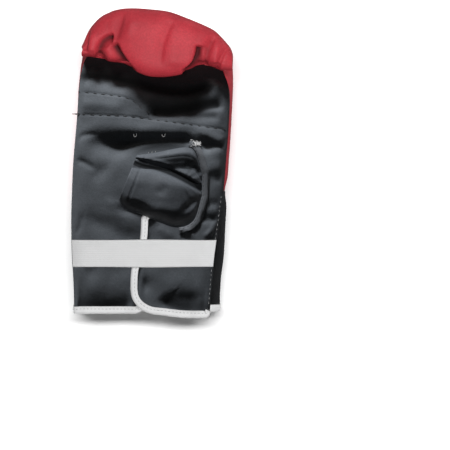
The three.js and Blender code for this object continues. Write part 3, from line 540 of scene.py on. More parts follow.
def hood_points(across, angle, inside):
    """Points of the hood, turned about the palm's top edge from under the hand to the lip."""
    across, angle = np.broadcast_arrays(across, angle)
    edge = pad_top_at(across, inside)
    wall = pad_wall(edge) if inside else None
    start = trough(edge, across, PAD_CORNER, wall)
    axis = seam_height(edge) + PALM_RISE
    least = PALM_THICKNESS if inside else 1.5 * PALM_THICKNESS
    reach = PALM_TOP + HOOD_REACH * follow(HOOD, 1, across) - edge
    tip = np.maximum(reach - (PAD_TIP if inside else 0), least)
    full = HOOD_RISE * follow(HOOD, 2, across)
    rise = np.maximum(full - HOOD_WALL if inside else full, least)
    crest = 0 if inside else HOOD_CREST * tip
    lip = np.maximum(0 if inside else LIP_REACH * follow(HOOD, 3, across), least)
    back, out = quarter_oval(angle)
    under_y = edge + tip * out
    under_z = axis - (axis - start[..., 2]) * back
    out, up = quarter_oval(angle - 90)
    over_y = edge + crest + (tip - crest) * out
    over_z = axis + rise * up
    past = (angle - 180) / (LIP_ANGLE - 180)
    up, over = quarter_oval(90 * past)
    tuck = LIP_TUCK * (lip - least) * smooth((past - 0.7) / 0.3)
    lip_y = edge + crest - (crest + lip) * over + tuck
    lip_z = axis + mix(PALM_RISE, rise, up)
    y = np.where(angle <= 90, under_y, np.where(angle <= 180, over_y, lip_y))
    z = np.where(angle <= 90, under_z, np.where(angle <= 180, over_z, lip_z))
    return np.stack([start[..., 0], y, z], axis=-1)


def slit_half_gap(below):
    """Half the slit's opening below its eye; less than nothing where the flaps overlap."""
    eye = np.sqrt(np.maximum(0, SLIT_EYE**2 - (SLIT_EYE - below) ** 2))
    closing = SLIT_EYE - (SLIT_EYE + FLAP_OVERLAP / 2) * smooth((below - SLIT_EYE) / SLIT_CLOSES_IN)
    return np.where(below < SLIT_EYE, eye, closing)


def slit_x(y):
    return HALF_WIDTH * follow(SLIT_LINE, 1, clamp((SLIT_TOP - y) / SLIT_LENGTH, 0, 1))


def palm_crown(x, y):
    """How far the palm is raised between its side seams."""
    left, right, _, _ = sides_at(y)
    inside = clamp(np.minimum(x - left, right - x) / PALM_SHOULDER, 0, 1)
    return PALM_CROWN * (1 - (1 - inside) ** SHOULDER_POWER)


def thumb_base():
    """The place on the palm that the thumb sleeve is laid out from."""
    y = CUFF_EDGE + THUMB_FROM_EDGE
    return float(sides_at(y)[1]) - THUMB_FROM_SEAM, y


def dent_depth(x, y):
    """How deep the palm's dents are, flat at the seams and round the thumb sleeve."""
    left, right, _, _ = sides_at(y)
    span = PALM_TOP - CUFF_EDGE
    depth = np.zeros(np.shape(x))
    for dent_x, dent_y, long, wide, turn, deep in DENTS:
        dx = x / HALF_WIDTH - dent_x
        dy = (y - CUFF_EDGE - dent_y * span) / HALF_WIDTH
        cos, sin = math.cos(math.radians(turn)), math.sin(math.radians(turn))
        along, beside = (dx * cos + dy * sin) / long, (dy * cos - dx * sin) / wide
        depth += DENT_DEPTH * deep * bump(np.hypot(along, beside))
    from_seam = np.minimum(x - left, right - x) - PAD_EDGE - MM
    base_x, base_y = thumb_base()
    from_thumb = np.hypot(
        (x - base_x + THUMB_LENGTH / 2) / THUMB_FLAT_LONG, (y - base_y) / THUMB_FLAT_WIDE
    )
    return depth * smooth(from_seam / DENT_FROM_SEAM) * smooth((from_thumb - 1) / THUMB_FLAT_FADE)


def flap_height(x, y, side, creased=False):
    """The palm's middle surface on one side of the slit."""
    below = np.maximum(0, SLIT_TOP - y)
    edge = slit_x(y) + side * slit_half_gap(below)
    from_edge = np.hypot(x - edge, np.maximum(0, y - SLIT_TOP))
    dents = dent_depth(x, y) * smooth((from_edge - TAPE_WIDTH) / TAPE_WIDTH)
    free = smooth((palm_top_at(x) - LIP_REACH - y) / TUCKED_UNDER_HOOD)
    left, right, _, _ = sides_at(y)
    from_side = np.minimum(x - left, right - x)
    if creased:
        beside_tape = smooth((from_edge - 0.8 * TAPE_WIDTH) / (0.5 * TAPE_WIDTH))
        under_elastic = 1 - bump((y - CUFF_EDGE - ELASTIC_FROM_EDGE) / (0.5 * ELASTIC_WIDTH)) ** 2
        free_seam = smooth((from_side - 1.5 * MM) / (5 * MM))
        fine = wrinkles(x, y, *PALM_FINE_WRINKLES) + wrinkles(x, y, *PALM_WIDE_WRINKLES)
        folds = crease_depth(x, y, PALM_CREASES) + fine
        dents = dents + folds * beside_tape * free_seam * under_elastic
    level = seam_height(y) + PALM_RISE + (palm_crown(x, y) - dents) * free
    shift = -FLAP_DROP if side < 0 else FLAP_LIFT
    parted = smooth(below / FLAP_PARTS_IN) * bump((x - edge) / FLAP_REACH)
    return level + shift * parted * smooth((from_side - PAD_EDGE) / FLAP_PARTS_IN)


# Mesh building


def surface_normals(grid):
    """Unit normals of a grid of points, along rows crossed with along columns."""
    along_rows, along_columns = np.gradient(grid, axis=0), np.gradient(grid, axis=1)
    normal = np.cross(along_columns, along_rows)
    return normal / np.maximum(np.linalg.norm(normal, axis=-1, keepdims=True), 1e-12)


def quads_between(index):
    """The faces of a grid of point numbers."""
    corners = [index[:-1, :-1], index[:-1, 1:], index[1:, 1:], index[1:, :-1]]
    return np.stack(corners, axis=-1).reshape(-1, 4)


def grid_quads(rows, columns, first=0):
    return quads_between(first + np.arange(rows * columns).reshape(rows, columns))


def tube_quads(rings, size):
    """The faces that join closed rings of points, each to the next."""
    index = np.arange(rings * size).reshape(rings, size)
    return quads_between(np.concatenate([index, index[:, :1]], axis=1))


def border(rows, columns, first=0):
    """The indices round a grid's edge, in order."""
    index = first + np.arange(rows * columns).reshape(rows, columns)
    return np.concatenate([index[0, :-1], index[:-1, -1], index[-1, :0:-1], index[:0:-1, 0]])


def linked(name, data):
    """A new object in the scene for a mesh, a lamp or a camera."""
    obj = bpy.data.objects.new(name, data)
    bpy.context.scene.collection.objects.link(obj)
    return obj


def mesh_object(name, points, faces, finish, attributes=None):
    mesh = bpy.data.meshes.new(name)
    mesh.from_pydata([tuple(p) for p in np.asarray(points, float)], [], [tuple(map(int, f)) for f in faces])
    for key, values in (attributes or {}).items():
        mesh.attributes.new(key, "FLOAT", "POINT").data.foreach_set(
            "value", np.asarray(values, np.float32)
        )
    mesh.materials.append(finish)
    mesh.validate()
    obj = linked(name, mesh)
    face_outwards(mesh)
    mesh.polygons.foreach_set("use_smooth", [True] * len(mesh.polygons))
    mesh.update()
    return obj


def face_outwards(mesh):
    """Turns a closed mesh round where its volume comes out negative."""
    mesh.calc_loop_triangles()
    co = np.zeros(len(mesh.vertices) * 3)
    mesh.vertices.foreach_get("co", co)
    co = co.reshape(-1, 3)
    tri = np.zeros(len(mesh.loop_triangles) * 3, int)
    mesh.loop_triangles.foreach_get("vertices", tri)
    a, b, c = (co[tri.reshape(-1, 3)[:, k]] for k in range(3))
    if np.einsum("ij,ij->i", a, np.cross(b, c)).sum() < 0:
        mesh.flip_normals()


def double_wall(name, outer, inner, finish, fold):
    """A closed wall between a fine outer grid and an inner one with half its steps."""
    rows, columns = outer.shape[:2]
    inner_rows, inner_columns = inner.shape[:2]
    first = rows * columns
    faces = [*grid_quads(rows, columns), *grid_quads(inner_rows, inner_columns, first)[:, ::-1]]
    fine, coarse = border(rows, columns), border(inner_rows, inner_columns, first)
    for k in range(len(coarse)):
        near, far = coarse[k], coarse[(k + 1) % len(coarse)]
        a, b, c = fine[2 * k], fine[2 * k + 1], fine[(2 * k + 2) % len(fine)]
        faces += [(b, a, near), (c, b, far), (b, near, far)]
    points = np.concatenate([outer.reshape(-1, 3), inner.reshape(-1, 3)])
    # The fold attribute carries the painted shade of the creases; the inner grid has none.
    marks = np.concatenate([fold.ravel(), np.zeros(inner_rows * inner_columns)])
    return mesh_object(name, points, faces, finish, {"fold": marks})


def cloth_wall(name, upper, lower, faces, finish, fold=None):
    """A closed wall between two surfaces with the same faces."""
    shift = len(upper)
    faces = np.asarray(faces)
    edges = {}
    for face in faces.tolist():
        for k, start in enumerate(face):
            end = face[(k + 1) % len(face)]
            if edges.pop((end, start), None) is None:
                edges[(start, end)] = True
    rim = [(end, start, start + shift, end + shift) for start, end in edges]
    points = np.concatenate([upper, lower])
    # The fold attribute, where given, carries painted shade, the same on both faces.
    attributes = None if fold is None else {"fold": np.concatenate([fold, fold])}
    return mesh_object(name, points, [*faces, *(faces + shift)[:, ::-1], *rim], finish, attributes)


def ring_tube(name, rings, finish):
    """A closed section carried along rings of points, with flat ends."""
    count, size = rings.shape[:2]
    first_end = tuple(range(size))[::-1]
    last_end = tuple((count - 1) * size + j for j in range(size))
    faces = [*tube_quads(count, size), first_end, last_end]
    return mesh_object(name, rings.reshape(-1, 3), faces, finish)


# Materials


class Value:
    """A shader socket that takes part in Python expressions."""

    def __init__(self, shader, socket):
        self.shader, self.socket = shader, socket

    def math(self, operation, *others):
        values = dict(enumerate((self, *others)))
        return self.shader.node("ShaderNodeMath", values, operation=operation)

    def __add__(self, other):
        return self.math("ADD", other)

    def __radd__(self, other):
        return self.math("ADD", other)

    def __sub__(self, other):
        return self.math("SUBTRACT", other)

    def __rsub__(self, other):
        return self.shader.node("ShaderNodeMath", {0: other, 1: self}, operation="SUBTRACT")

    def __mul__(self, other):
        return self.math("MULTIPLY", other)

    def __rmul__(self, other):
        return self.math("MULTIPLY", other)

    def between(self, low, high):
        """0 below low, 1 above high, smooth in between."""
        values = {"Value": self, "From Min": low, "From Max": high}
        return self.shader.node(
            "ShaderNodeMapRange", values, interpolation_type="SMOOTHSTEP", clamp=True
        )


class Shader:
    """A material made of nodes round one Principled shader."""

    def __init__(self, name, **constants):
        self.material = bpy.data.materials.new(name)
        self.material.use_nodes = True
        self.tree = self.material.node_tree
        self.surface = self.tree.nodes["Principled BSDF"]
        for key, value in constants.items():
            self.surface.inputs[key.replace("_", " ")].default_value = value
        self.place = self.node("ShaderNodeTexCoord", {}, output="Object")

    def node(self, kind, values, output=0, **settings):
        node = self.tree.nodes.new(kind)
        for key, setting in settings.items():
            setattr(node, key, setting)
        for key, value in values.items():
            self.put(node.inputs[key], value)
        return Value(self, node.outputs[output])

    def put(self, socket, value):
        if isinstance(value, Value):
            self.tree.links.new(value.socket, socket)
        else:
            socket.default_value = value

    def noise(self, scale, detail, roughness=0.5):
        values = {"Vector": self.place, "Scale": scale, "Detail": detail, "Roughness": roughness}
        return self.node("ShaderNodeTexNoise", values, output="Fac")

    def cells(self, scale):
        values = {"Vector": self.place, "Scale": scale}
        return self.node("ShaderNodeTexVoronoi", values, output="Distance", feature="F1")

    def wave(self, scale, direction, distortion):
        values = {"Vector": self.place, "Scale": scale, "Distortion": distortion}
        return self.node(
            "ShaderNodeTexWave", values, output="Fac", bands_direction=direction, wave_profile="SIN"
        )

    def attribute(self, name):
        return self.node("ShaderNodeAttribute", {}, output="Fac", attribute_name=name)

    def blend(self, share, first, second):
        """Two colours mixed by a share."""
        node = self.tree.nodes.new("ShaderNodeMix")
        node.data_type = "RGBA"
        for key, value in {"Factor": share, "A": first, "B": second}.items():
            kind = "VALUE" if key == "Factor" else "RGBA"
            self.put(next(s for s in node.inputs if s.name == key and s.type == kind), value)
        return Value(self, next(s for s in node.outputs if s.type == "RGBA"))

    def finish(self, color, roughness, height, relief):
        values = {"Height": height, "Distance": relief, "Strength": 1}
        self.put(self.surface.inputs["Base Color"], color)
        self.put(self.surface.inputs["Roughness"], roughness)
        self.put(self.surface.inputs["Normal"], self.node("ShaderNodeBump", values, output="Normal"))
        return self.material


def color_of(rgb, gain=1.0):
    return (*(gain * c for c in rgb), 1.0)


def vinyl(name, rgb, gloss, gleam, grain):
    """Grained vinyl: painted shade in its folds (the colour darkens where the fold attribute is high), fine
    pores, soft rub marks and uneven gloss.
    """
    shader = Shader(name, Specular_IOR_Level=gleam)
    cloud = shader.noise(38, 3)
    pores = shader.cells(1250)
    grit = shader.noise(2300, 2)
    rub = shader.noise(150, 4, 0.62)
    speck = shader.noise(620, 2, 0.6)
    fold = shader.attribute("fold")
    tone = shader.blend(cloud.between(0.3, 0.72), color_of(rgb, 0.88), color_of(rgb, 1.1))
    tone = shader.blend(rub.between(0.6, 0.8) * 0.12, tone, color_of([c + 0.05 for c in rgb]))
    tone = shader.blend(speck.between(0.35, 0.65) * 0.35, tone, color_of(rgb, 0.6))
    # Painted shade: the fold attribute darkens the colour in creases, down to 8% of it in the deepest.
    tone = shader.blend(fold.between(0.1, 0.6) * 0.4, tone, color_of(rgb, 0.5))
    tone = shader.blend(fold.between(0.4, 0.9) * 0.92, tone, color_of(rgb, 0.08))
    rough = gloss + 0.1 * (cloud - 0.5) + 0.12 * (rub - 0.5) + 0.3 * fold
    height = pores * 0.5 + grit * 0.35 + rub * 0.9
    return shader.finish(tone, rough, height, relief=grain)


def woven_tape(name, rgb):
    """White binding tape: a fine twill with grubby patches."""
    shader = Shader(name, Sheen_Weight=0.25, Sheen_Roughness=0.5)
    cloud = shader.noise(90, 3)
    threads = shader.wave(330, "DIAGONAL", 0.3)
    fuzz = shader.noise(1900, 2)
    tone = shader.blend(cloud.between(0.45, 0.8) * 0.35, color_of(rgb), color_of(rgb, 0.8))
    tone = shader.blend(threads * 0.14, tone, color_of(rgb, 0.72))
    return shader.finish(tone, 0.72 + 0.12 * (fuzz - 0.5), threads * 0.6 + fuzz * 0.5, relief=0.00018)


def knitted_elastic(name, rgb):
    """White elastic: ribs along its length, crossed by a fine weft."""
    shader = Shader(name, Sheen_Weight=0.3, Sheen_Roughness=0.5)
    cloud = shader.noise(45, 3)
    weft = shader.wave(700, "X", 0.4)
    rib = shader.wave(180, "Y", 0.2)
    fuzz = shader.noise(1700, 2)
    tone = shader.blend(cloud.between(0.45, 0.75) * 0.3, color_of(rgb), color_of(rgb, 0.86))
    tone = shader.blend(weft * 0.06 + rib * 0.16, tone, color_of(rgb, 0.74))
    return shader.finish(tone, 0.8 + 0.1 * (fuzz - 0.5), weft * 0.4 + fuzz * 0.5, relief=0.0002)


def thread(name, rgb):
    """Twisted sewing thread."""
    shader = Shader(name, Sheen_Weight=0.2)
    twist = shader.wave(700, "DIAGONAL", 0.2)
    fuzz = shader.noise(2500, 2)
    tone = shader.blend(twist * 0.5, color_of(rgb), color_of(rgb, 0.6))
    return shader.finish(tone, 0.6 + 0.2 * (fuzz - 0.5), twist + fuzz * 0.4, relief=0.0001)


def studio_floor(name, rgb, glow):
    """Pale matt floor that keeps its shadows light and stays pale far away."""
    shader = Shader(name, Emission_Strength=1)
    mottle = shader.noise(12, 3)
    tone = shader.blend(mottle.between(0.3, 0.7), color_of(rgb, 0.99), color_of(rgb))
    far = shader.node("ShaderNodeVectorMath", {0: shader.place}, output="Value", operation="LENGTH")
    lit = shader.blend(far.between(0.6, 2.2), color_of(rgb, glow), color_of(rgb))
    shader.put(shader.surface.inputs["Emission Color"], lit)
    return shader.finish(tone, 0.85 + 0.04 * (mottle - 0.5), shader.noise(900, 2), relief=0.00005)


def material(finish):
    """The material of a finish, made from the settings the first time it is asked for."""
    name = "glove_" + finish
    found = bpy.data.materials.get(name)
    if found:
        return found
    look = bpy.context.scene.glove_looks
    matt = look.black_roughness
    make = {
        "red_vinyl": lambda: vinyl(name, look.red, look.red_roughness, RED_GLEAM, RED_GRAIN),
        "black_vinyl": lambda: vinyl(name, look.black, matt, BLACK_GLEAM, BLACK_GRAIN),
        # A darker copy of the black vinyl: painted shade.
        "shade_vinyl": lambda: vinyl(name, look.shade, matt, BLACK_GLEAM, BLACK_GRAIN),
        "trim_vinyl": lambda: vinyl(name, look.trim, matt, TRIM_GLEAM, BLACK_GRAIN),
        "white_tape": lambda: woven_tape(name, look.white),
        "white_elastic": lambda: knitted_elastic(name, look.white),
        "dark_thread": lambda: thread(name, look.dark_thread),
        "pale_thread": lambda: thread(name, look.pale_thread),
        "studio_floor": lambda: studio_floor(name, look.floor, look.floor_glow),
    }
    return make[finish]()


# Geometry nodes


class NodeTree:
    """A geometry node tree with named inputs."""

    def __init__(self, name, inputs):
        self.tree = bpy.data.node_groups.new(name, "GeometryNodeTree")
        face = self.tree.interface
        face.new_socket("Geometry", in_out="INPUT", socket_type="NodeSocketGeometry")
        self.sockets = {}
        for key, kind, default in inputs:
            socket = face.new_socket(key, in_out="INPUT", socket_type=kind)
            if default is not None:
                socket.default_value = default
            self.sockets[key] = socket.identifier
        face.new_socket("Geometry", in_out="OUTPUT", socket_type="NodeSocketGeometry")
        self.given = self.tree.nodes.new("NodeGroupInput")
        self.result = self.tree.nodes.new("NodeGroupOutput")

    def node(self, kind, values, **settings):
        node = self.tree.nodes.new(kind)
        for key, setting in settings.items():
            setattr(node, key, setting)
        for key, value in values.items():
            if isinstance(value, bpy.types.NodeSocket):
                self.tree.links.new(value, node.inputs[key])
            else:
                node.inputs[key].default_value = value
        return node

    def finish(self, geometry, material_socket):
        real = self.node("GeometryNodeRealizeInstances", {"Geometry": geometry})
        soft = self.node("GeometryNodeSetShadeSmooth", {"Geometry": real.outputs[0]})
        dressed = self.node(
            "GeometryNodeSetMaterial", {"Geometry": soft.outputs[0], "Material": material_socket}
        )
        self.tree.links.new(dressed.outputs[0], self.result.inputs[0])

    def apply(self, obj, values):
        """Runs the tree on an object and leaves its result as the object's plain mesh."""
        modifier = obj.modifiers.new(self.tree.name, "NODES")
        modifier.node_group = self.tree
        for key, value in values.items():
            modifier[self.sockets[key]] = value
        bpy.context.view_layer.update()
        graph = bpy.context.evaluated_depsgraph_get()
        mesh = bpy.data.meshes.new_from_object(obj.evaluated_get(graph))
        mesh.name = obj.name
        obj.modifiers.clear()
        obj.data = mesh
        return obj


def stitch_tree():
    """Rows of stitches along paths: a small rounded thread for each, turned along the path."""
    tree = NodeTree("stitch_rows", [
        ("Spacing", "NodeSocketFloat", 0.005),
        ("Length", "NodeSocketFloat", 0.003),
        ("Thickness", "NodeSocketFloat", 0.0006),
        ("Seed", "NodeSocketInt", 1),
        ("Material", "NodeSocketMaterial", None),
    ])
    given = tree.given.outputs
    curve = tree.node("GeometryNodeMeshToCurve", {"Mesh": given["Geometry"]})
    spaced = tree.node(
        "GeometryNodeResampleCurve", {"Curve": curve.outputs[0], "Length": given["Spacing"]}, mode="LENGTH"
    )
    tangent = tree.node("GeometryNodeInputTangent", {})
    up = tree.node("GeometryNodeInputNamedAttribute", {"Name": "up"}, data_type="FLOAT_VECTOR")
    along = tree.node("FunctionNodeAlignRotationToVector", {"Vector": tangent.outputs[0]}, axis="X")
    standing = tree.node(
        "FunctionNodeAlignRotationToVector",
        {"Rotation": along.outputs[0], "Vector": up.outputs[0]},
        axis="Z",
        pivot_axis="X",
    )
    jitter = tree.node("FunctionNodeRandomValue", {"Seed": given["Seed"]}, data_type="FLOAT")
    for key, limit in (("Min", 0.8), ("Max", 1.15)):
        next(s for s in jitter.inputs if s.name == key and s.type == "VALUE").default_value = limit
    varied = next(s for s in jitter.outputs if s.type == "VALUE")
    long = tree.node("ShaderNodeMath", {0: given["Length"], 1: varied}, operation="MULTIPLY")
    size = tree.node(
        "ShaderNodeCombineXYZ",
        {"X": long.outputs[0], "Y": given["Thickness"], "Z": given["Thickness"]},
    )
    ball = tree.node("GeometryNodeMeshUVSphere", {"Segments": 8, "Rings": 6, "Radius": 0.5})
    placed = tree.node("GeometryNodeInstanceOnPoints", {
        "Points": spaced.outputs[0],
        "Instance": ball.outputs[0],
        "Rotation": standing.outputs[0],
        "Scale": size.outputs[0],
    })
    tree.finish(placed.outputs[0], given["Material"])
    return tree


def rib_tree():
    """Fine raised ribs along paths."""
    tree = NodeTree("rib_rows", [
        ("Radius", "NodeSocketFloat", 0.0003),
        ("Material", "NodeSocketMaterial", None),
    ])
    given = tree.given.outputs
    curve = tree.node("GeometryNodeMeshToCurve", {"Mesh": given["Geometry"]})
    ring = tree.node("GeometryNodeCurvePrimitiveCircle", {"Resolution": 5, "Radius": given["Radius"]})
    tube = tree.node("GeometryNodeCurveToMesh", {
        "Curve": curve.outputs[0], "Profile Curve": ring.outputs[0], "Fill Caps": True,
    })
    tree.finish(tube.outputs[0], given["Material"])
    return tree


def path_object(name, paths, ups=None):
    """Paths as a mesh of edges, each point with the way up from its surface."""
    points, edges, lifts = [], [], []
    for k, path in enumerate(paths):
        first = len(points)
        points += [tuple(p) for p in path]
        edges += [(first + i, first + i + 1) for i in range(len(path) - 1)]
        lifts += [tuple(u) for u in ups[k]] if ups else [(0, 0, 1)] * len(path)
    mesh = bpy.data.meshes.new(name)
    mesh.from_pydata(points, edges, [])
    mesh.attributes.new("up", "FLOAT_VECTOR", "POINT").data.foreach_set(
        "vector", np.asarray(lifts, np.float32).ravel()
    )
    return linked(name, mesh)


def stitches(name, paths, ups, finish, sizes, seed):
    """Rows of stitches along paths, as one piece."""
    row = path_object(name, paths, ups)
    spacing, length, thickness = sizes
    values = {
        "Spacing": spacing, "Length": length, "Thickness": thickness, "Seed": seed,
        "Material": material(finish),
    }
    stitch_tree().apply(row, values)
    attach(row, "root")


def ribs_along(name, paths, radius, finish):
    """Thin round ribs along paths, as one piece."""
    piece = path_object(name, paths)
    rib_tree().apply(piece, {"Radius": radius, "Material": material(finish)})
    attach(piece, "root")
    return piece


# Paths on the palm, right of the slit


def on_palm(points, lift):
    """Points in metres seen from above, set on the palm's top surface."""
    x, y = np.asarray(points, float)[:, 0], np.asarray(points, float)[:, 1]
    z = flap_height(x, y, 1, creased=True) + PALM_THICKNESS / 2 + lift
    return np.column_stack([x, y, z])


def palm_ups(points):
    """The way up from the palm's surface at points on it."""
    x, y = points[:, 0], points[:, 1]
    step = 0.5 * MM
    rise_x = flap_height(x + step, y, 1, True) - flap_height(x - step, y, 1, True)
    rise_y = flap_height(x, y + step, 1, True) - flap_height(x, y - step, 1, True)
    up = np.column_stack([-rise_x, -rise_y, np.full(len(x), 2 * step)])
    return up / np.linalg.norm(up, axis=1, keepdims=True)


# The pieces


def cover_grid(hand_rows, hood_rows, columns, inside):
    """The padded back's outside or inside, row by row from the cuff to the hood's lip."""
    across = np.linspace(-1, 1, columns + 1)[None, :]
    along = (np.arange(hand_rows) / hand_rows)[:, None] ** 1.15
    y = mix(PAD_END + GAP / 2, pad_top_at(across, inside), along)
    hand = trough(y, across, PAD_CORNER, pad_wall(y) if inside else None)
    return np.concatenate([hand, hood_points(across, hood_angles(hood_rows), inside)])


def hood_angles(rows):
    """How far each row of the hood is turned about the palm's top edge, in degrees."""
    steps = np.arange(rows + 1) / rows
    return (LIP_ANGLE * (0.55 * steps + 0.45 * steps**0.75))[:, None]


def outward_normals(grid, centre):
    """A grid's normals, turned away from a point inside it."""
    normal = surface_normals(grid)
    return normal * np.sign(((grid - np.array(centre)) * normal).sum(-1).mean())


def build_back_cover():
    outer = cover_grid(HAND_ROWS, HOOD_ROWS, COVER_COLUMNS, False)
    inner = cover_grid(HAND_ROWS // 2, HOOD_ROWS // 2, COVER_COLUMNS // 2, True)
    normal = outward_normals(outer, (0, 0.03, 0.03))
    x, y, z = outer[..., 0], outer[..., 1], outer[..., 2]
    angle = hood_angles(HOOD_ROWS)
    over = np.concatenate([np.zeros((HAND_ROWS, 1)), smooth_between(angle, *HOOD_FOLDS_IN)])
    lip = np.concatenate([np.ones((HAND_ROWS, 1)), 1 - 0.5 * smooth_between(angle, *LIP_FOLDS_EASE)])
    girth = np.abs(np.linspace(-1, 1, COVER_COLUMNS + 1))[None, :]
    seam_free = smooth((1 - girth) / 0.1)
    folds = crease_depth(x, y, HOOD_CREASES) * over * lip * seam_free
    height_left = np.maximum(z - seam_height(y) - 2 * PALM_RISE, 0)
    folds = np.minimum(folds, DEEPEST_SHARE * height_left + DEEPEST_BELOW)
    side = smooth((girth - 0.6) / 0.2) * smooth((1 - girth) / 0.08) * (1 - over)
    wide = wrinkles(x + z, y, *BACK_WIDE_WRINKLES) * (0.5 * over + side)
    fine = wrinkles(x + z, y, *BACK_FINE_WRINKLES)
    off_floor = smooth(z / (6 * MM))
    loose = (wide + fine) * off_floor * seam_free * lip
    outer = outer - normal * (folds + loose)[..., None]
    outer[..., 2] = np.maximum(outer[..., 2], 0)
    # Painted shade: the red darkens in the deepest creases by this share.
    painted_crease_shade = clamp(folds / HOOD_FULL_SHADE, 0, 1)
    cover = double_wall("back_cover", outer, inner, material("red_vinyl"), painted_crease_shade)
    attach(cover, "root")
    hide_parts("back_pad")


def cuff_corner(y):
    """The radius of the cuff's lower corners, which grows into the pad's."""
    return mix(CUFF_CORNER, PAD_CORNER, smooth((y - CUFF_EDGE) / CUFF_LENGTH))


def build_cuff_cover():
    def grid(rows, columns, inside):
        y = np.linspace(CUFF_EDGE + CUFF_SETBACK, PAD_END - GAP / 2, rows + 1)[:, None]
        across = np.linspace(-1, 1, columns + 1)[None, :]
        return trough(y, across, cuff_corner(y), (CUFF_WALL, CUFF_WALL) if inside else None)

    outer = grid(CUFF_ROWS, CUFF_COLUMNS, False)
    inner = grid(CUFF_ROWS // 2, CUFF_COLUMNS // 2, True)
    normal = outward_normals(outer, (0, -0.08, 0.02))
    y, z = outer[..., 1], outer[..., 2]
    girth = np.abs(np.linspace(-1, 1, outer.shape[1]))[None, :]
    free = smooth((1 - girth) / 0.1) * smooth((y - CUFF_EDGE - CUFF_SETBACK - TAPE_WIDTH) / (10 * MM))
    free = free * smooth((PAD_END - y) / (8 * MM)) * smooth(z / (6 * MM))
    loose = 0.5 * (CUFF_WRINKLES[0] + wrinkles(z, y, *CUFF_WRINKLES))
    outer = outer - normal * (loose * free)[..., None]
    # The cuff's back takes the darker copy of the black vinyl, as painted shade.
    cover = double_wall("cuff_cover", outer, inner, material("shade_vinyl"), np.zeros_like(y))
    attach(cover, "root")
    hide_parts("cuff_back")


def palm_half(side):
    """One half of the palm, row by row from its slit edge to its side seam."""
    rounding = LEFT_FLAP_ROUND if side < 0 else RIGHT_FLAP_ROUND
    flaps = 1 - (1 - np.arange(FLAP_ROWS) / FLAP_ROWS) ** 1.25
    share = np.concatenate([flaps, 1 + np.arange(PALM_ROWS + 1) / PALM_ROWS])[:, None]
    out = ((np.arange(PALM_COLUMNS + 1) / PALM_COLUMNS) ** 1.08)[None, :]

    def spot(y):
        edge = slit_x(y) + side * slit_half_gap(np.maximum(0, SLIT_TOP - y))
        left, right, _, _ = sides_at(y)
        return mix(edge, left if side < 0 else right, out)

    bottom_seam = sides_at(PALM_BOTTOM)[0 if side < 0 else 1]
    bottom_edge = slit_x(np.array(PALM_BOTTOM)) - side * FLAP_OVERLAP / 2
    from_edge = out * abs(bottom_seam - bottom_edge)
    inward = np.maximum(rounding - from_edge, 0)
    raised = rounding - np.sqrt(rounding**2 - inward**2)
    if side > 0:
        corner = clamp((out - 0.93) / 0.07, 0, 1)
        raised = raised - RIGHT_FLAP_SAG * smooth((out - 0.15) / 0.6)
        raised = raised + RIGHT_FLAP_CORNER * (1 - np.sqrt(1 - corner**2))
    low = mix(PALM_BOTTOM + raised, SLIT_TOP, np.minimum(share, 1))
    high = mix(SLIT_TOP, palm_top_at(spot(np.array(PALM_TOP))), np.maximum(share - 1, 0))
    y = np.where(share < 1, low, high)
    x = spot(y)
    return np.stack([x, y, flap_height(x, y, side, creased=True)], axis=-1)


def palm_surface():
    """The palm's middle surface, its normals and faces, and the path of the tape round its flaps."""
    left, right = palm_half(-1), palm_half(1)
    rows, columns = left.shape[:2]
    left_index = np.arange(rows * columns).reshape(rows, columns)
    right_index = left_index + rows * columns
    right_index[FLAP_ROWS:, 0] = left_index[FLAP_ROWS:, 0]
    quads = np.concatenate([quads_between(left_index)[:, ::-1], quads_between(right_index)])
    points = np.concatenate([left.reshape(-1, 3), right.reshape(-1, 3)])
    a, b, c, d = (points[quads[:, k]] for k in range(4))
    facing = np.cross(c - a, d - b)
    normals = np.zeros_like(points)
    for k in range(4):
        np.add.at(normals, quads[:, k], facing)
    normals /= np.maximum(np.linalg.norm(normals, axis=1, keepdims=True), 1e-12)
    path = np.concatenate([
        left_index[0, :0:-1], left_index[:FLAP_ROWS + 1, 0],
        right_index[:FLAP_ROWS, 0][::-1], right_index[0, 1:],
    ])
    return points, normals, quads, path


def hole_cut(points, quads, x, y, half_x, half_y):
    """Drops the faces inside an oval, and moves the points round it onto its edge."""
    away = np.hypot((points[:, 0] - x) / half_x, (points[:, 1] - y) / half_y)
    middle = away[quads].mean(1)
    kept = quads[middle >= 1]
    rim = np.intersect1d(kept.ravel(), quads[middle < 1].ravel())
    scale = 1 / away[rim]
    points[rim, 0] = x + (points[rim, 0] - x) * scale
    points[rim, 1] = y + (points[rim, 1] - y) * scale
    return kept


def vent_places():
    """The vent holes' middles, seen from above."""
    y = PALM_TOP - VENT_FROM_HOOD
    return [(VENT_FROM_MIDDLE + side * VENT_SPACING / 2, y) for side in (-1, 1)]


def thumb_hole():
    """The middle of the hole that joins the hand's hollow and the thumb sleeve."""
    x, y = thumb_base()
    return x - THUMB_HOLE_FROM_BASE, y - THUMB_HOLE_DOWN


def compact(points, normals, quads):
    """Only the points that faces use, with the faces renumbered."""
    used = np.unique(quads)
    number = np.full(len(points), -1)
    number[used] = np.arange(len(used))
    return points[used], normals[used], number[quads]


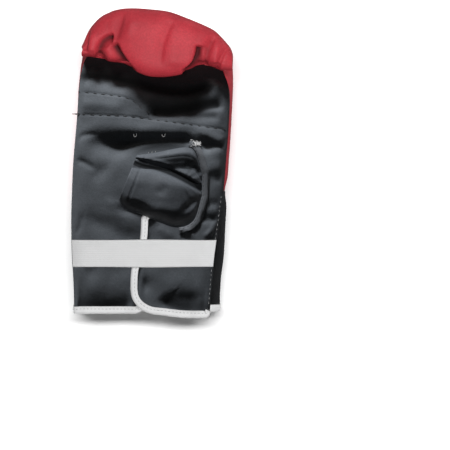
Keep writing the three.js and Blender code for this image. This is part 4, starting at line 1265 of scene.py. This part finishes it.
def build_palm():
    points, normals, quads, path = palm_surface()
    tape_points, tape_normals = points[path], normals[path]
    for x, y in vent_places():
        quads = hole_cut(points, quads, x, y, VENT_DIAMETER / 2, VENT_DIAMETER / 2)
    quads = hole_cut(points, quads, *thumb_hole(), THUMB_HOLE_WIDE / 2, THUMB_HOLE_LONG / 2)
    points, normals, quads = compact(points, normals, quads)
    half = PALM_THICKNESS / 2
    # Painted shade and painted shadow: the creases darken the black vinyl, and some of them stand where the
    # hood casts its shadow.
    fold = clamp(crease_depth(points[:, 0], points[:, 1], PALM_CREASES) / PALM_FULL_SHADE, 0, 1)
    palm = cloth_wall(
        "palm_cloth", points + half * normals, points - half * normals, quads,
        material("black_vinyl"), fold,
    )
    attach(palm, "root")
    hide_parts("palm_panel")
    binding = tape_along("slit_binding", tape_points, tape_normals, PALM_THICKNESS)
    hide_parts("slit_tape")
    tape_stitches(tape_points, tape_normals, PALM_THICKNESS, "slit_stitches", 31)


def tape_section(slot):
    """The folded tape's section: outwards over the cloth's edge, and through the cloth."""
    inner, outer = slot / 2 + GAP, slot / 2 + GAP + TAPE_THICKNESS
    end = GAP + TAPE_THICKNESS
    turn = np.radians(np.linspace(-90, 90, 11))
    fold = [(end - outer + outer * math.cos(t), outer * math.sin(t)) for t in turn]
    stitched = (end - TAPE_STITCH_INSET, outer - 0.16 * MM)
    top = [
        (end - TAPE_WIDTH + 0.5 * MM, outer + 0.12 * MM),
        (end - TAPE_WIDTH, outer - 0.3 * TAPE_THICKNESS),
        (end - TAPE_WIDTH, inner),
    ]
    mouth = end - outer - 0.2 * MM
    slot_walls = [(mouth, inner), (GAP, 0.5 * inner), (GAP, -0.5 * inner), (mouth, -inner)]
    under = [(end - TAPE_UNDER, -inner), (end - TAPE_UNDER, -outer)]
    return np.array([*fold, stitched, *top, *slot_walls, *under])


def frames_along(points, normals):
    """The way along a path, outwards from the cloth, and through it, at each point."""
    along = np.gradient(points, axis=0)
    along /= np.linalg.norm(along, axis=1, keepdims=True)
    outwards = np.cross(along, normals)
    outwards /= np.linalg.norm(outwards, axis=1, keepdims=True)
    return along, outwards, np.cross(outwards, along)


def tape_along(name, points, normals, slot):
    """Tape folded over a cloth's edge, with a slot for the cloth."""
    _, outwards, through = frames_along(points, normals)
    section = tape_section(slot)
    ripple = wrinkles(points[:, 0], points[:, 1], *TAPE_RIPPLE)
    out, up = section[None, :, :1], section[None, :, 1:]
    rings = points[:, None] + outwards[:, None] * out + through[:, None] * up
    rings = rings + through[:, None] * (ripple[:, None] * (section[:, 1] > slot / 2 + GAP))[..., None]
    tape = ring_tube(name, rings, material("white_tape"))
    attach(tape, "root")
    return tape


def tape_stitches(points, normals, slot, name, seed):
    """The row of stitches that holds the tape, near its inner edge."""
    _, outwards, through = frames_along(points, normals)
    inset = TAPE_STITCH_INSET - GAP - TAPE_THICKNESS
    lift = slot / 2 + GAP + TAPE_THICKNESS - 0.05 * MM
    line = points - outwards * inset + through * lift
    stitches(name, [line], [through], "pale_thread", TAPE_STITCH, seed)


def build_back_binding():
    y = CUFF_EDGE + CUFF_SETBACK
    across = np.linspace(-1, 1, 240)
    corner = cuff_corner(y)
    outer, inner = trough(y, across, corner), trough(y, across, corner, (CUFF_WALL, CUFF_WALL))
    middle, through = (outer + inner) / 2, inner - outer
    half = np.linalg.norm(through, axis=1) / 2
    inwards = through / np.linalg.norm(through, axis=1, keepdims=True)
    rings = []
    for point, way, thick in zip(middle, inwards, half):
        section = tape_section(2 * thick)
        rings.append(point - section[:, 1:] * way + section[:, :1] * np.array([0, -1, 0]))
    binding = ring_tube("back_binding", np.array(rings), material("white_tape"))
    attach(binding, "root")
    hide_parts("back_tape")


def elastic_height(x, y):
    """The elastic's underside, with a hump where it crosses the slit's tape."""
    middle = CUFF_EDGE + ELASTIC_FROM_EDGE
    over = slit_x(np.array(middle)) - FLAP_OVERLAP / 2
    hump = (FLAP_LIFT + TAPE_THICKNESS + GAP) * bump((x - over) / (TAPE_HUMP_REACH * FLAP_REACH))
    return seam_height(y) + PALM_RISE + PALM_THICKNESS / 2 + 2 * GAP + palm_crown(x, y) + hump


def elastic_pull(x):
    """How far the elastic's edges wander where it is pulled."""
    return wrinkles(x, 0 * x, *ELASTIC_PULL)


def build_elastic():
    middle = CUFF_EDGE + ELASTIC_FROM_EDGE
    row = np.linspace(-1, 1, ELASTIC_ROWS + 1)[:, None]
    column = np.linspace(0, 1, ELASTIC_COLUMNS + 1)[None, :]
    y = middle + row * ELASTIC_WIDTH / 2
    left, right, _, _ = sides_at(y)
    x = mix(left, right, column)
    y = y + elastic_pull(x) * row
    edge = smooth((1 - np.abs(row)) / 0.06)
    z = elastic_height(x, y)
    rib = RIB_RELIEF * np.cos(row * math.pi * RIB_WAVES)
    upper = np.stack([x, y, z + ELASTIC_THICKNESS * mix(0.55, 1, edge) + rib * edge], axis=-1)
    lower = np.stack([x, y, z], axis=-1)
    band = cloth_wall(
        "elastic_band", upper.reshape(-1, 3), lower.reshape(-1, 3),
        grid_quads(*x.shape), material("white_elastic"),
    )
    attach(band, "root")
    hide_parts("elastic_strap")
    paths = []
    for share in np.linspace(-RIB_SPREAD, RIB_SPREAD, RIB_COUNT):
        line_y = middle + share * ELASTIC_WIDTH / 2
        line_left, line_right, _, _ = sides_at(np.array(line_y))
        line_x = np.linspace(line_left + 0.6 * MM, line_right - 0.6 * MM, 150)
        line_y = line_y + elastic_pull(line_x) * share
        line_z = elastic_height(line_x, line_y) + ELASTIC_THICKNESS - RIB_SINK
        paths.append(np.column_stack([line_x, line_y, line_z]))
    ribs = ribs_along("elastic_ribs", paths, RIB_RADIUS, "white_elastic")
    length = float(right.mean() - left.mean())


def thumb_value(column, share):
    """A column of the thumb sleeve's table, at a share of the way from its mouth to its base."""
    return follow(THUMB, column, THUMB[-1, 0] * np.asarray(share, float))


def thumb_edge(share, up):
    """The sleeve's edge seen from above, on its finger side (up) or its wrist side."""
    base_x, base_y = thumb_base()
    along = thumb_value(1 if up else 3, share) * THUMB_LENGTH
    out = thumb_value(2 if up else 4, share) * THUMB_SPREAD
    return np.stack([base_x - along, base_y + out], axis=-1)


def hem_distance(x, y):
    """How far a place is from the thumb sleeve's mouth, seen from above."""
    up, down = thumb_edge(0, True), thumb_edge(0, False)
    way = (down - up) / np.linalg.norm(down - up)
    return np.abs((x - up[0]) * way[1] - (y - up[1]) * way[0])


def thumb_rings(wall):
    """The sleeve's outside, or its inside where a wall is given, and the painted shade of its folds."""
    base_x, base_y = thumb_base()
    rows = 1 - (1 - np.arange(THUMB_ROWS + 1) / THUMB_ROWS) ** 1.4
    up, down = thumb_edge(rows, True), thumb_edge(rows, False)
    inset = np.minimum(0.4, 1.6 * wall / np.linalg.norm(up - down, axis=1))[:, None]
    height = np.maximum(THUMB_HEIGHT * thumb_value(5, rows) - 2 * wall, 0.5 * MM)[:, None]

    def spots(share):
        spot = up[:, None] + (down - up)[:, None] * mix(inset, 1 - inset, share)[..., None]
        return spot[..., 0], spot[..., 1]

    def floor_at(x, y):
        tilt = THUMB_TILT * np.maximum(0, base_x - x) / THUMB_LENGTH
        return flap_height(x, y, 1) + PALM_THICKNESS / 2 + GAP + wall + tilt

    share = np.linspace(0, 1, THUMB_COLUMNS + 1)[None, :]
    x, y = spots(share)
    arch = follow(THUMB_PROFILE, 1, share) * height
    folds = crease_depth(x, y, THUMB_CREASES)
    from_mouth = hem_distance(x, y)
    seam = smooth(1 - np.abs(from_mouth - HEM_WIDTH) / (1.1 * MM))
    hem = smooth((HEM_WIDTH - from_mouth) / (0.8 * MM))
    fine = wrinkles(x, y, *THUMB_FINE_WRINKLES) + wrinkles(x, y, *THUMB_WIDE_WRINKLES)
    round_base = np.arctan2(y - base_y, x - base_x + 0.02)
    gathers = GATHER_DEPTH * np.sin(round_base * GATHERS) * smooth((rows[:, None] - 0.55) / 0.3)
    sunk = (folds + fine + gathers) * smooth(arch / (4 * MM))
    top = arch - sunk - HEM_SEAM_DEPTH * seam + HEM_RAISE * hem
    over = np.stack([x, y, floor_at(x, y) + np.maximum(top, 0.3 * arch)], axis=-1)
    # Painted shade: the sleeve's vinyl darkens in its creases by this share.
    marks = clamp(folds / THUMB_FULL_SHADE, 0, 1)
    x, y = spots(share[:, 1:-1][:, ::-1])
    under = np.stack([x, y, floor_at(x, y)], axis=-1)
    marks = np.concatenate([marks, np.zeros(under.shape[:2])], axis=1)
    return np.concatenate([over, under], axis=1), marks


def thumb_faces(size):
    """The sleeve's faces, and those that close its base.

    The base's two end faces have three corners and repeat one. The mesh's validation drops them, which
    leaves gaps under 1 mm at the base's ends.
    """
    last = THUMB_ROWS * size
    base = []
    for j in range(THUMB_COLUMNS):
        loop = [j, j + 1, size - j - 1, (size - j) % size]
        face = list(dict.fromkeys(last + k % size for k in loop))
        base.append(face + face[-1:] if len(face) == 3 else face)
    return np.concatenate([tube_quads(THUMB_ROWS + 1, size), base])


def build_thumb_sleeve():
    (outer, marks), (inner, _) = thumb_rings(0), thumb_rings(THUMB_WALL)
    size = outer.shape[1]
    faces = thumb_faces(size)
    upper, lower = outer.reshape(-1, 3), inner.reshape(-1, 3)
    hole_x, hole_y = thumb_hole()
    away = np.hypot(
        (upper[:, 0] - hole_x) * 2 / THUMB_HOLE_WIDE, (upper[:, 1] - hole_y) * 2 / THUMB_HOLE_LONG
    )
    underside = faces % size > THUMB_COLUMNS
    faces = faces[~((away[faces].mean(1) < 1) & underside.all(1))]
    # The sleeve takes the darker copy of the black vinyl, as painted shade.
    sleeve = cloth_wall("thumb_cover", upper, lower, faces, material("shade_vinyl"), marks.ravel())
    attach(sleeve, "root")
    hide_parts("thumb_sleeve")


def thumb_rim(count):
    """Points round the sleeve's base seen from above, and the way outwards at each."""
    shares = THUMB_BAND_FROM + (1 - THUMB_BAND_FROM) * (1 - (1 - np.arange(count) / count) ** 1.6)
    up, down = thumb_edge(shares, True), thumb_edge(shares[::-1], False)
    rim = np.concatenate([up, down])
    along = np.gradient(rim, axis=0)
    along /= np.linalg.norm(along, axis=1, keepdims=True)
    return rim, np.column_stack([-along[:, 1], along[:, 0]])


def build_thumb_band():
    rim, out = thumb_rim(50)
    columns = 12
    share = np.linspace(0, 1, columns + 1)[None, :]
    spot = rim[:, None] + out[:, None] * (GAP + THUMB_BAND_WIDTH * share)[..., None]
    x, y = spot[..., 0], spot[..., 1]
    base = flap_height(x, y, 1, creased=True) + PALM_THICKNESS / 2 + GAP
    pillow = THUMB_BAND_THICKNESS * (0.35 + 0.65 * (1 - (2 * share - 1) ** 4))
    groove = 0.35 * MM * bump((share - 0.2) / 0.07)
    ripple = wrinkles(x, y, *BAND_WRINKLES)
    upper = np.stack([x, y, base + pillow - groove + ripple], axis=-1)
    lower = np.stack([x, y, base], axis=-1)
    band = cloth_wall(
        "thumb_binding", upper.reshape(-1, 3), lower.reshape(-1, 3),
        grid_quads(len(rim), columns + 1), material("trim_vinyl"), np.zeros(x.size),
    )
    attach(band, "root")
    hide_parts("thumb_band")
    line = upper[:, 2]
    upright = np.tile([0, 0, 1.0], (len(line), 1))
    stitches("thumb_band_stitches", [line], [upright], "dark_thread", BAND_STITCH, 73)


def build_palm_stitching():
    sewing = bpy.context.scene.glove_sewing
    sizes = (sewing.palm_spacing, sewing.palm_length, sewing.thread)
    rows = [curve_through(np.array(row[0]) * MM, 90) for row in STITCHED_ROWS]
    paths = [on_palm(row, 0.1 * MM) for row in rows]
    stitches("palm_stitches", paths, [palm_ups(p) for p in paths], "dark_thread", sizes, 81)
    y = np.linspace(PAD_END - 6 * MM, CUFF_EDGE + 10 * MM, 80)
    line = on_palm(np.column_stack([sides_at(y)[1] - CUFF_STITCH_INSET, y]), 0.05 * MM)
    stitches("cuff_seam_stitches", [line], [palm_ups(line)], "pale_thread", CUFF_STITCH, 83)


def build_vents():
    """A part-turn of thread round each vent hole, a little longer than it is wide."""
    turn = np.linspace(math.radians(150), math.radians(400), 18)
    radius = 0.5 * VENT_DIAMETER + 0.2 * MM
    paths = []
    for x, y in vent_places():
        ring = np.column_stack([x + radius * np.cos(turn), y + 1.15 * radius * np.sin(turn)])
        paths.append(on_palm(ring, 0.12 * MM))
    ribs_along("vent_rims", paths, VENT_RIM_RADIUS, "pale_thread")


def build_loose_thread():
    """The thread's end that sticks out of the left seam where the last stitched row begins."""
    row_start = STITCHED_ROWS[-1][0][0]
    y = row_start[1] * MM
    left = float(sides_at(y)[0])
    z = seam_height(y) + LOOSE_THREAD_LIFT
    points = [
        (left + 6 * MM, y + 0.2 * MM, z),
        (left + MM, y + 0.4 * MM, z + MM),
        (left - 5 * MM, y + 0.3 * MM, z),
    ]
    ribs_along("loose_thread", [curve_through(points, 16)], LOOSE_THREAD_RADIUS, "dark_thread")


def build_frayed_tuft():
    """Frayed ends of the tape where the thumb sleeve's band begins."""
    rng = np.random.default_rng(9)
    foot_x, foot_y = np.array(TUFT_FOOT)
    top = float(flap_height(foot_x, foot_y, 1, True)) + PALM_THICKNESS / 2
    tufts = []
    for _ in range(TUFT_COUNT):
        start = np.array([*TUFT_PLACE, top]) + rng.normal(0, 1, 3) * TUFT_SPREAD
        way = rng.normal(0, 1, 3) * TUFT_REACH
        curl = rng.normal(0, TUFT_CURL, 3)
        line = curve_through([start, start + 0.5 * way + curl, start + way + TUFT_RISE], 6)
        line[:, 2] = np.maximum(line[:, 2], top + 0.1 * MM)
        tufts.append(line)
    ribs_along("frayed_tuft", tufts, TUFT_RADIUS, "white_tape")


def build_thumb_ticks():
    """Short stitches on the palm beside the sleeve."""
    ends = [[tick, tick + [TICK_LEAN, TICK_LENGTH]] for tick in THUMB_TICKS * MM]
    paths = [curve_through(on_palm(end, TICK_LIFT), 4) for end in ends]
    ribs_along("thumb_ticks", paths, TICK_RADIUS, "pale_thread")


# The stage


def area_light(name, place, size, power, named, state, unshaded=(), hidden_from=""):
    """A rectangular light that lights only the named objects, or all but those."""
    light = bpy.data.lights.new(name, "AREA")
    light.shape, light.size, light.size_y = "RECTANGLE", size[0], size[1]
    light.energy = power
    lamp = linked(name, light)
    lamp.location = place
    lamp.rotation_euler = (Vector(AIM) - Vector(place)).to_track_quat("-Z", "Y").to_euler()
    if hidden_from:
        setattr(lamp, f"visible_{hidden_from}", False)
    lamp.light_linking.receiver_collection = link_list(name, named, state)
    if unshaded:
        lamp.light_linking.blocker_collection = link_list(name + "_passes", unshaded, "EXCLUDE")


def link_list(name, named, state):
    """A list of objects that a light takes in or leaves out."""
    chosen = bpy.data.collections.new(name)
    for obj in named:
        chosen.objects.link(obj)
    for link in chosen.collection_objects:
        link.light_linking.link_state = state
    return chosen


def dark_pieces():
    """The pieces of black and trim vinyl, and of the black's darker copy with painted shade."""
    dark = {material("black_vinyl"), material("shade_vinyl"), material("trim_vinyl")}
    meshes = [o for o in bpy.context.scene.objects if o.type == "MESH" and o.data.materials]
    return [o for o in meshes if o.data.materials[0] in dark]


def build_floor():
    half, low = FLOOR_HALF, -FLOOR_DEPTH
    corners = [(-half, -half, low), (half, -half, low), (half, half, low), (-half, half, low)]
    mesh = bpy.data.meshes.new("floor")
    mesh.from_pydata(corners, [], [(0, 1, 2, 3)])
    mesh.materials.append(material("studio_floor"))
    floor = linked("floor", mesh)
    floor.visible_glossy = False
    return floor


def build_world():
    """A white world that only the camera sees in full."""
    world = bpy.data.worlds.new("studio")
    bpy.context.scene.world = world
    world.use_nodes = True
    sky = world.node_tree.nodes["Background"]
    sky.inputs["Color"].default_value = (1, 1, 1, 1)
    seen = world.node_tree.nodes.new("ShaderNodeLightPath")
    strength = world.node_tree.nodes.new("ShaderNodeMath")
    strength.operation = "MAXIMUM"
    strength.inputs[1].default_value = bpy.context.scene.glove_looks.surround
    world.node_tree.links.new(seen.outputs["Is Camera Ray"], strength.inputs[0])
    world.node_tree.links.new(strength.outputs[0], sky.inputs["Strength"])


def build_lights(floor):
    """The dark pieces, the red and white ones, and the floor each have lights of their own."""
    look = bpy.context.scene.glove_looks
    turn, rise = math.radians(look.key_turn), math.radians(look.key_rise)
    way = (-math.cos(rise) * math.sin(turn), math.cos(rise) * math.cos(turn), math.sin(rise))
    key = tuple(KEY_DISTANCE * part for part in way)
    dark = dark_pieces()
    left_out = [floor, *dark]
    passed = [bpy.data.objects[name] for name in ("elastic_band", "elastic_ribs", "thumb_cover")]
    area_light("key_light", key, KEY_SIZE, look.key_power, dark, "INCLUDE", passed, "glossy")
    area_light("gloss_light", *GLOSS_LIGHT, look.gloss_power, dark, "INCLUDE", passed, "diffuse")
    area_light("soft_light", *SOFT_LIGHT, look.soft_power, left_out, "EXCLUDE")
    area_light("front_light", *FRONT_LIGHT, look.front_power, left_out, "EXCLUDE")
    area_light("overhead_light", *OVERHEAD_LIGHT, look.fill_power, dark, "INCLUDE")
    area_light("floor_light", *FLOOR_LIGHT, look.floor_power, [floor], "INCLUDE")


def build_camera():
    camera = bpy.data.cameras.new("camera")
    camera.sensor_width = SENSOR_WIDTH
    camera.lens = SENSOR_WIDTH * (CAMERA_PLACE[2] - PICTURE_LEVEL) / PICTURE_WIDTH
    eye = linked("camera", camera)
    eye.location = CAMERA_PLACE
    bpy.context.scene.camera = eye
    bpy.context.scene.view_settings.view_transform = "Standard"


def build_stage():
    floor = build_floor()
    build_world()
    build_lights(floor)
    build_camera()


# Settings and operators


def color_setting(name, text, rgb):
    return bpy.props.FloatVectorProperty(
        name=name, description=text, default=rgb, subtype="COLOR", min=0, max=1
    )


def power_setting(name, text, watts):
    return bpy.props.FloatProperty(name=name, description=text, default=watts, min=0, unit="POWER")


def number_setting(name, text, default, high):
    return bpy.props.FloatProperty(name=name, description=text, default=default, min=0, max=high)


def angle_setting(name, text, degrees):
    return bpy.props.FloatProperty(name=name, description=text, default=degrees)


def length_setting(name, text, default, least):
    return bpy.props.FloatProperty(
        name=name, description=text, default=default, min=least, unit="LENGTH"
    )


class GloveLooks(bpy.types.PropertyGroup):
    """Colours, gloss and light."""

    red: color_setting("Red vinyl", "Colour of the padded back and hood", (0.47, 0.034, 0.048))
    # Black vinyl and Shaded vinyl are one vinyl in two tones. The black is lighter than black vinyl's own
    # colour, which paints part of the palm's sheen into it; the shaded one is a darker copy, painted shade on
    # the thumb sleeve and the cuff's back.
    black: color_setting("Black vinyl", "Colour of the palm and its flaps", (0.074, 0.082, 0.092))
    shade: color_setting(
        "Shaded vinyl", "Colour of the thumb sleeve and the back of the cuff", (0.046, 0.051, 0.058)
    )
    trim: color_setting(
        "Trim vinyl", "Colour of the band round the thumb sleeve", (0.075, 0.08, 0.088)
    )
    white: color_setting("White cloth", "Colour of the tape and the elastic", (0.66, 0.662, 0.665))
    dark_thread: color_setting(
        "Dark thread", "Colour of the stitching of the palm", (0.008, 0.008, 0.01)
    )
    pale_thread: color_setting(
        "Pale thread", "Colour of the stitching of the tape and the cuff's seam", (0.38, 0.38, 0.38)
    )
    floor: color_setting("Floor", "Colour of the floor", (0.9, 0.9, 0.9))
    red_roughness: number_setting("Red roughness", "Roughness of the red vinyl", 0.5, 1)
    black_roughness: number_setting("Black roughness", "Roughness of the black vinyl", 0.6, 1)
    floor_glow: number_setting("Floor glow", "Light the floor gives off", 0.12, 2)
    surround: number_setting("Surround", "Strength of the white surround", 0.02, 5)
    key_power: power_setting("Key power", "Power of the low light on the black vinyl", 98)
    gloss_power: power_setting(
        "Gloss power", "Power of the light that the black vinyl only mirrors", 6
    )
    fill_power: power_setting("Fill power", "Power of the overhead light on the black vinyl", 0.7)
    soft_power: power_setting(
        "Soft power", "Power of the light from the fingertips' side on the red and white", 16
    )
    front_power: power_setting(
        "Front power", "Power of the light from the cuff's side on the red and white", 16.5
    )
    floor_power: power_setting("Floor power", "Power of the light on the floor", 52)
    key_turn: angle_setting("Key turn", "Degrees the key light stands left of the fingertips", 10)
    key_rise: angle_setting("Key rise", "Degrees the key light stands above the floor", 18.5)


class GloveSewing(bpy.types.PropertyGroup):
    """Sizes of the stitching."""

    palm_spacing: length_setting(
        "Palm spacing", "From stitch to stitch across the palm", 0.0072, 0.001
    )
    palm_length: length_setting("Palm stitch", "Length of a stitch of the palm", 0.0038, 0.0005)
    thread: length_setting("Thread", "Thickness of the palm's thread", 0.0007, 0.0001)


class GLOVE_OT_back(bpy.types.Operator):
    """Adds the red padded back and its hood"""

    bl_idname = "glove.back"
    bl_label = "Back cover"
    bl_options = {"REGISTER", "UNDO"}

    def execute(self, context):
        build_back_cover()
        return {"FINISHED"}


class GLOVE_OT_cuff(bpy.types.Operator):
    """Adds the cuff's black back and its taped edge"""

    bl_idname = "glove.cuff"
    bl_label = "Cuff cover"
    bl_options = {"REGISTER", "UNDO"}

    def execute(self, context):
        build_cuff_cover()
        build_back_binding()
        return {"FINISHED"}


class GLOVE_OT_palm(bpy.types.Operator):
    """Adds the palm, its tape and its stitching"""

    bl_idname = "glove.palm"
    bl_label = "Palm"
    bl_options = {"REGISTER", "UNDO"}

    def execute(self, context):
        build_palm()
        build_palm_stitching()
        return {"FINISHED"}


class GLOVE_OT_elastic(bpy.types.Operator):
    """Adds the ribbed elastic across the cuff"""

    bl_idname = "glove.elastic"
    bl_label = "Elastic"
    bl_options = {"REGISTER", "UNDO"}

    def execute(self, context):
        build_elastic()
        return {"FINISHED"}


class GLOVE_OT_thumb(bpy.types.Operator):
    """Adds the thumb sleeve and its band"""

    bl_idname = "glove.thumb"
    bl_label = "Thumb sleeve"
    bl_options = {"REGISTER", "UNDO"}

    def execute(self, context):
        build_thumb_sleeve()
        build_thumb_band()
        return {"FINISHED"}


class GLOVE_OT_small(bpy.types.Operator):
    """Adds the vents' rims and the loose threads"""

    bl_idname = "glove.small"
    bl_label = "Vents and threads"
    bl_options = {"REGISTER", "UNDO"}

    def execute(self, context):
        build_vents()
        build_loose_thread()
        build_frayed_tuft()
        build_thumb_ticks()
        return {"FINISHED"}


class GLOVE_OT_stage(bpy.types.Operator):
    """Adds the floor, the lights and the camera"""

    bl_idname = "glove.stage"
    bl_label = "Stage"
    bl_options = {"REGISTER", "UNDO"}

    def execute(self, context):
        build_stage()
        return {"FINISHED"}


OPERATORS = [
    GLOVE_OT_back, GLOVE_OT_cuff, GLOVE_OT_palm, GLOVE_OT_elastic,
    GLOVE_OT_thumb, GLOVE_OT_small, GLOVE_OT_stage,
]


class GLOVE_PT_panel(bpy.types.Panel):
    """Lists the glove's pieces."""

    bl_label = "Bag glove"
    bl_space_type = "VIEW_3D"
    bl_region_type = "UI"
    bl_category = "Glove"

    def draw(self, context):
        for kind in OPERATORS:
            self.layout.operator(kind.bl_idname)


CLASSES = [GloveLooks, GloveSewing, *OPERATORS, GLOVE_PT_panel]


def register():
    for kind in CLASSES:
        bpy.utils.register_class(kind)
    bpy.types.Scene.glove_looks = bpy.props.PointerProperty(type=GloveLooks)
    bpy.types.Scene.glove_sewing = bpy.props.PointerProperty(type=GloveSewing)


def unregister():
    del bpy.types.Scene.glove_sewing
    del bpy.types.Scene.glove_looks
    for kind in reversed(CLASSES):
        bpy.utils.unregister_class(kind)


def main():
    register()
    for kind in OPERATORS:
        group, name = kind.bl_idname.split(".")
        getattr(getattr(bpy.ops, group), name)()
    bpy.context.view_layer.update()


if __name__ == "__main__":
    main()
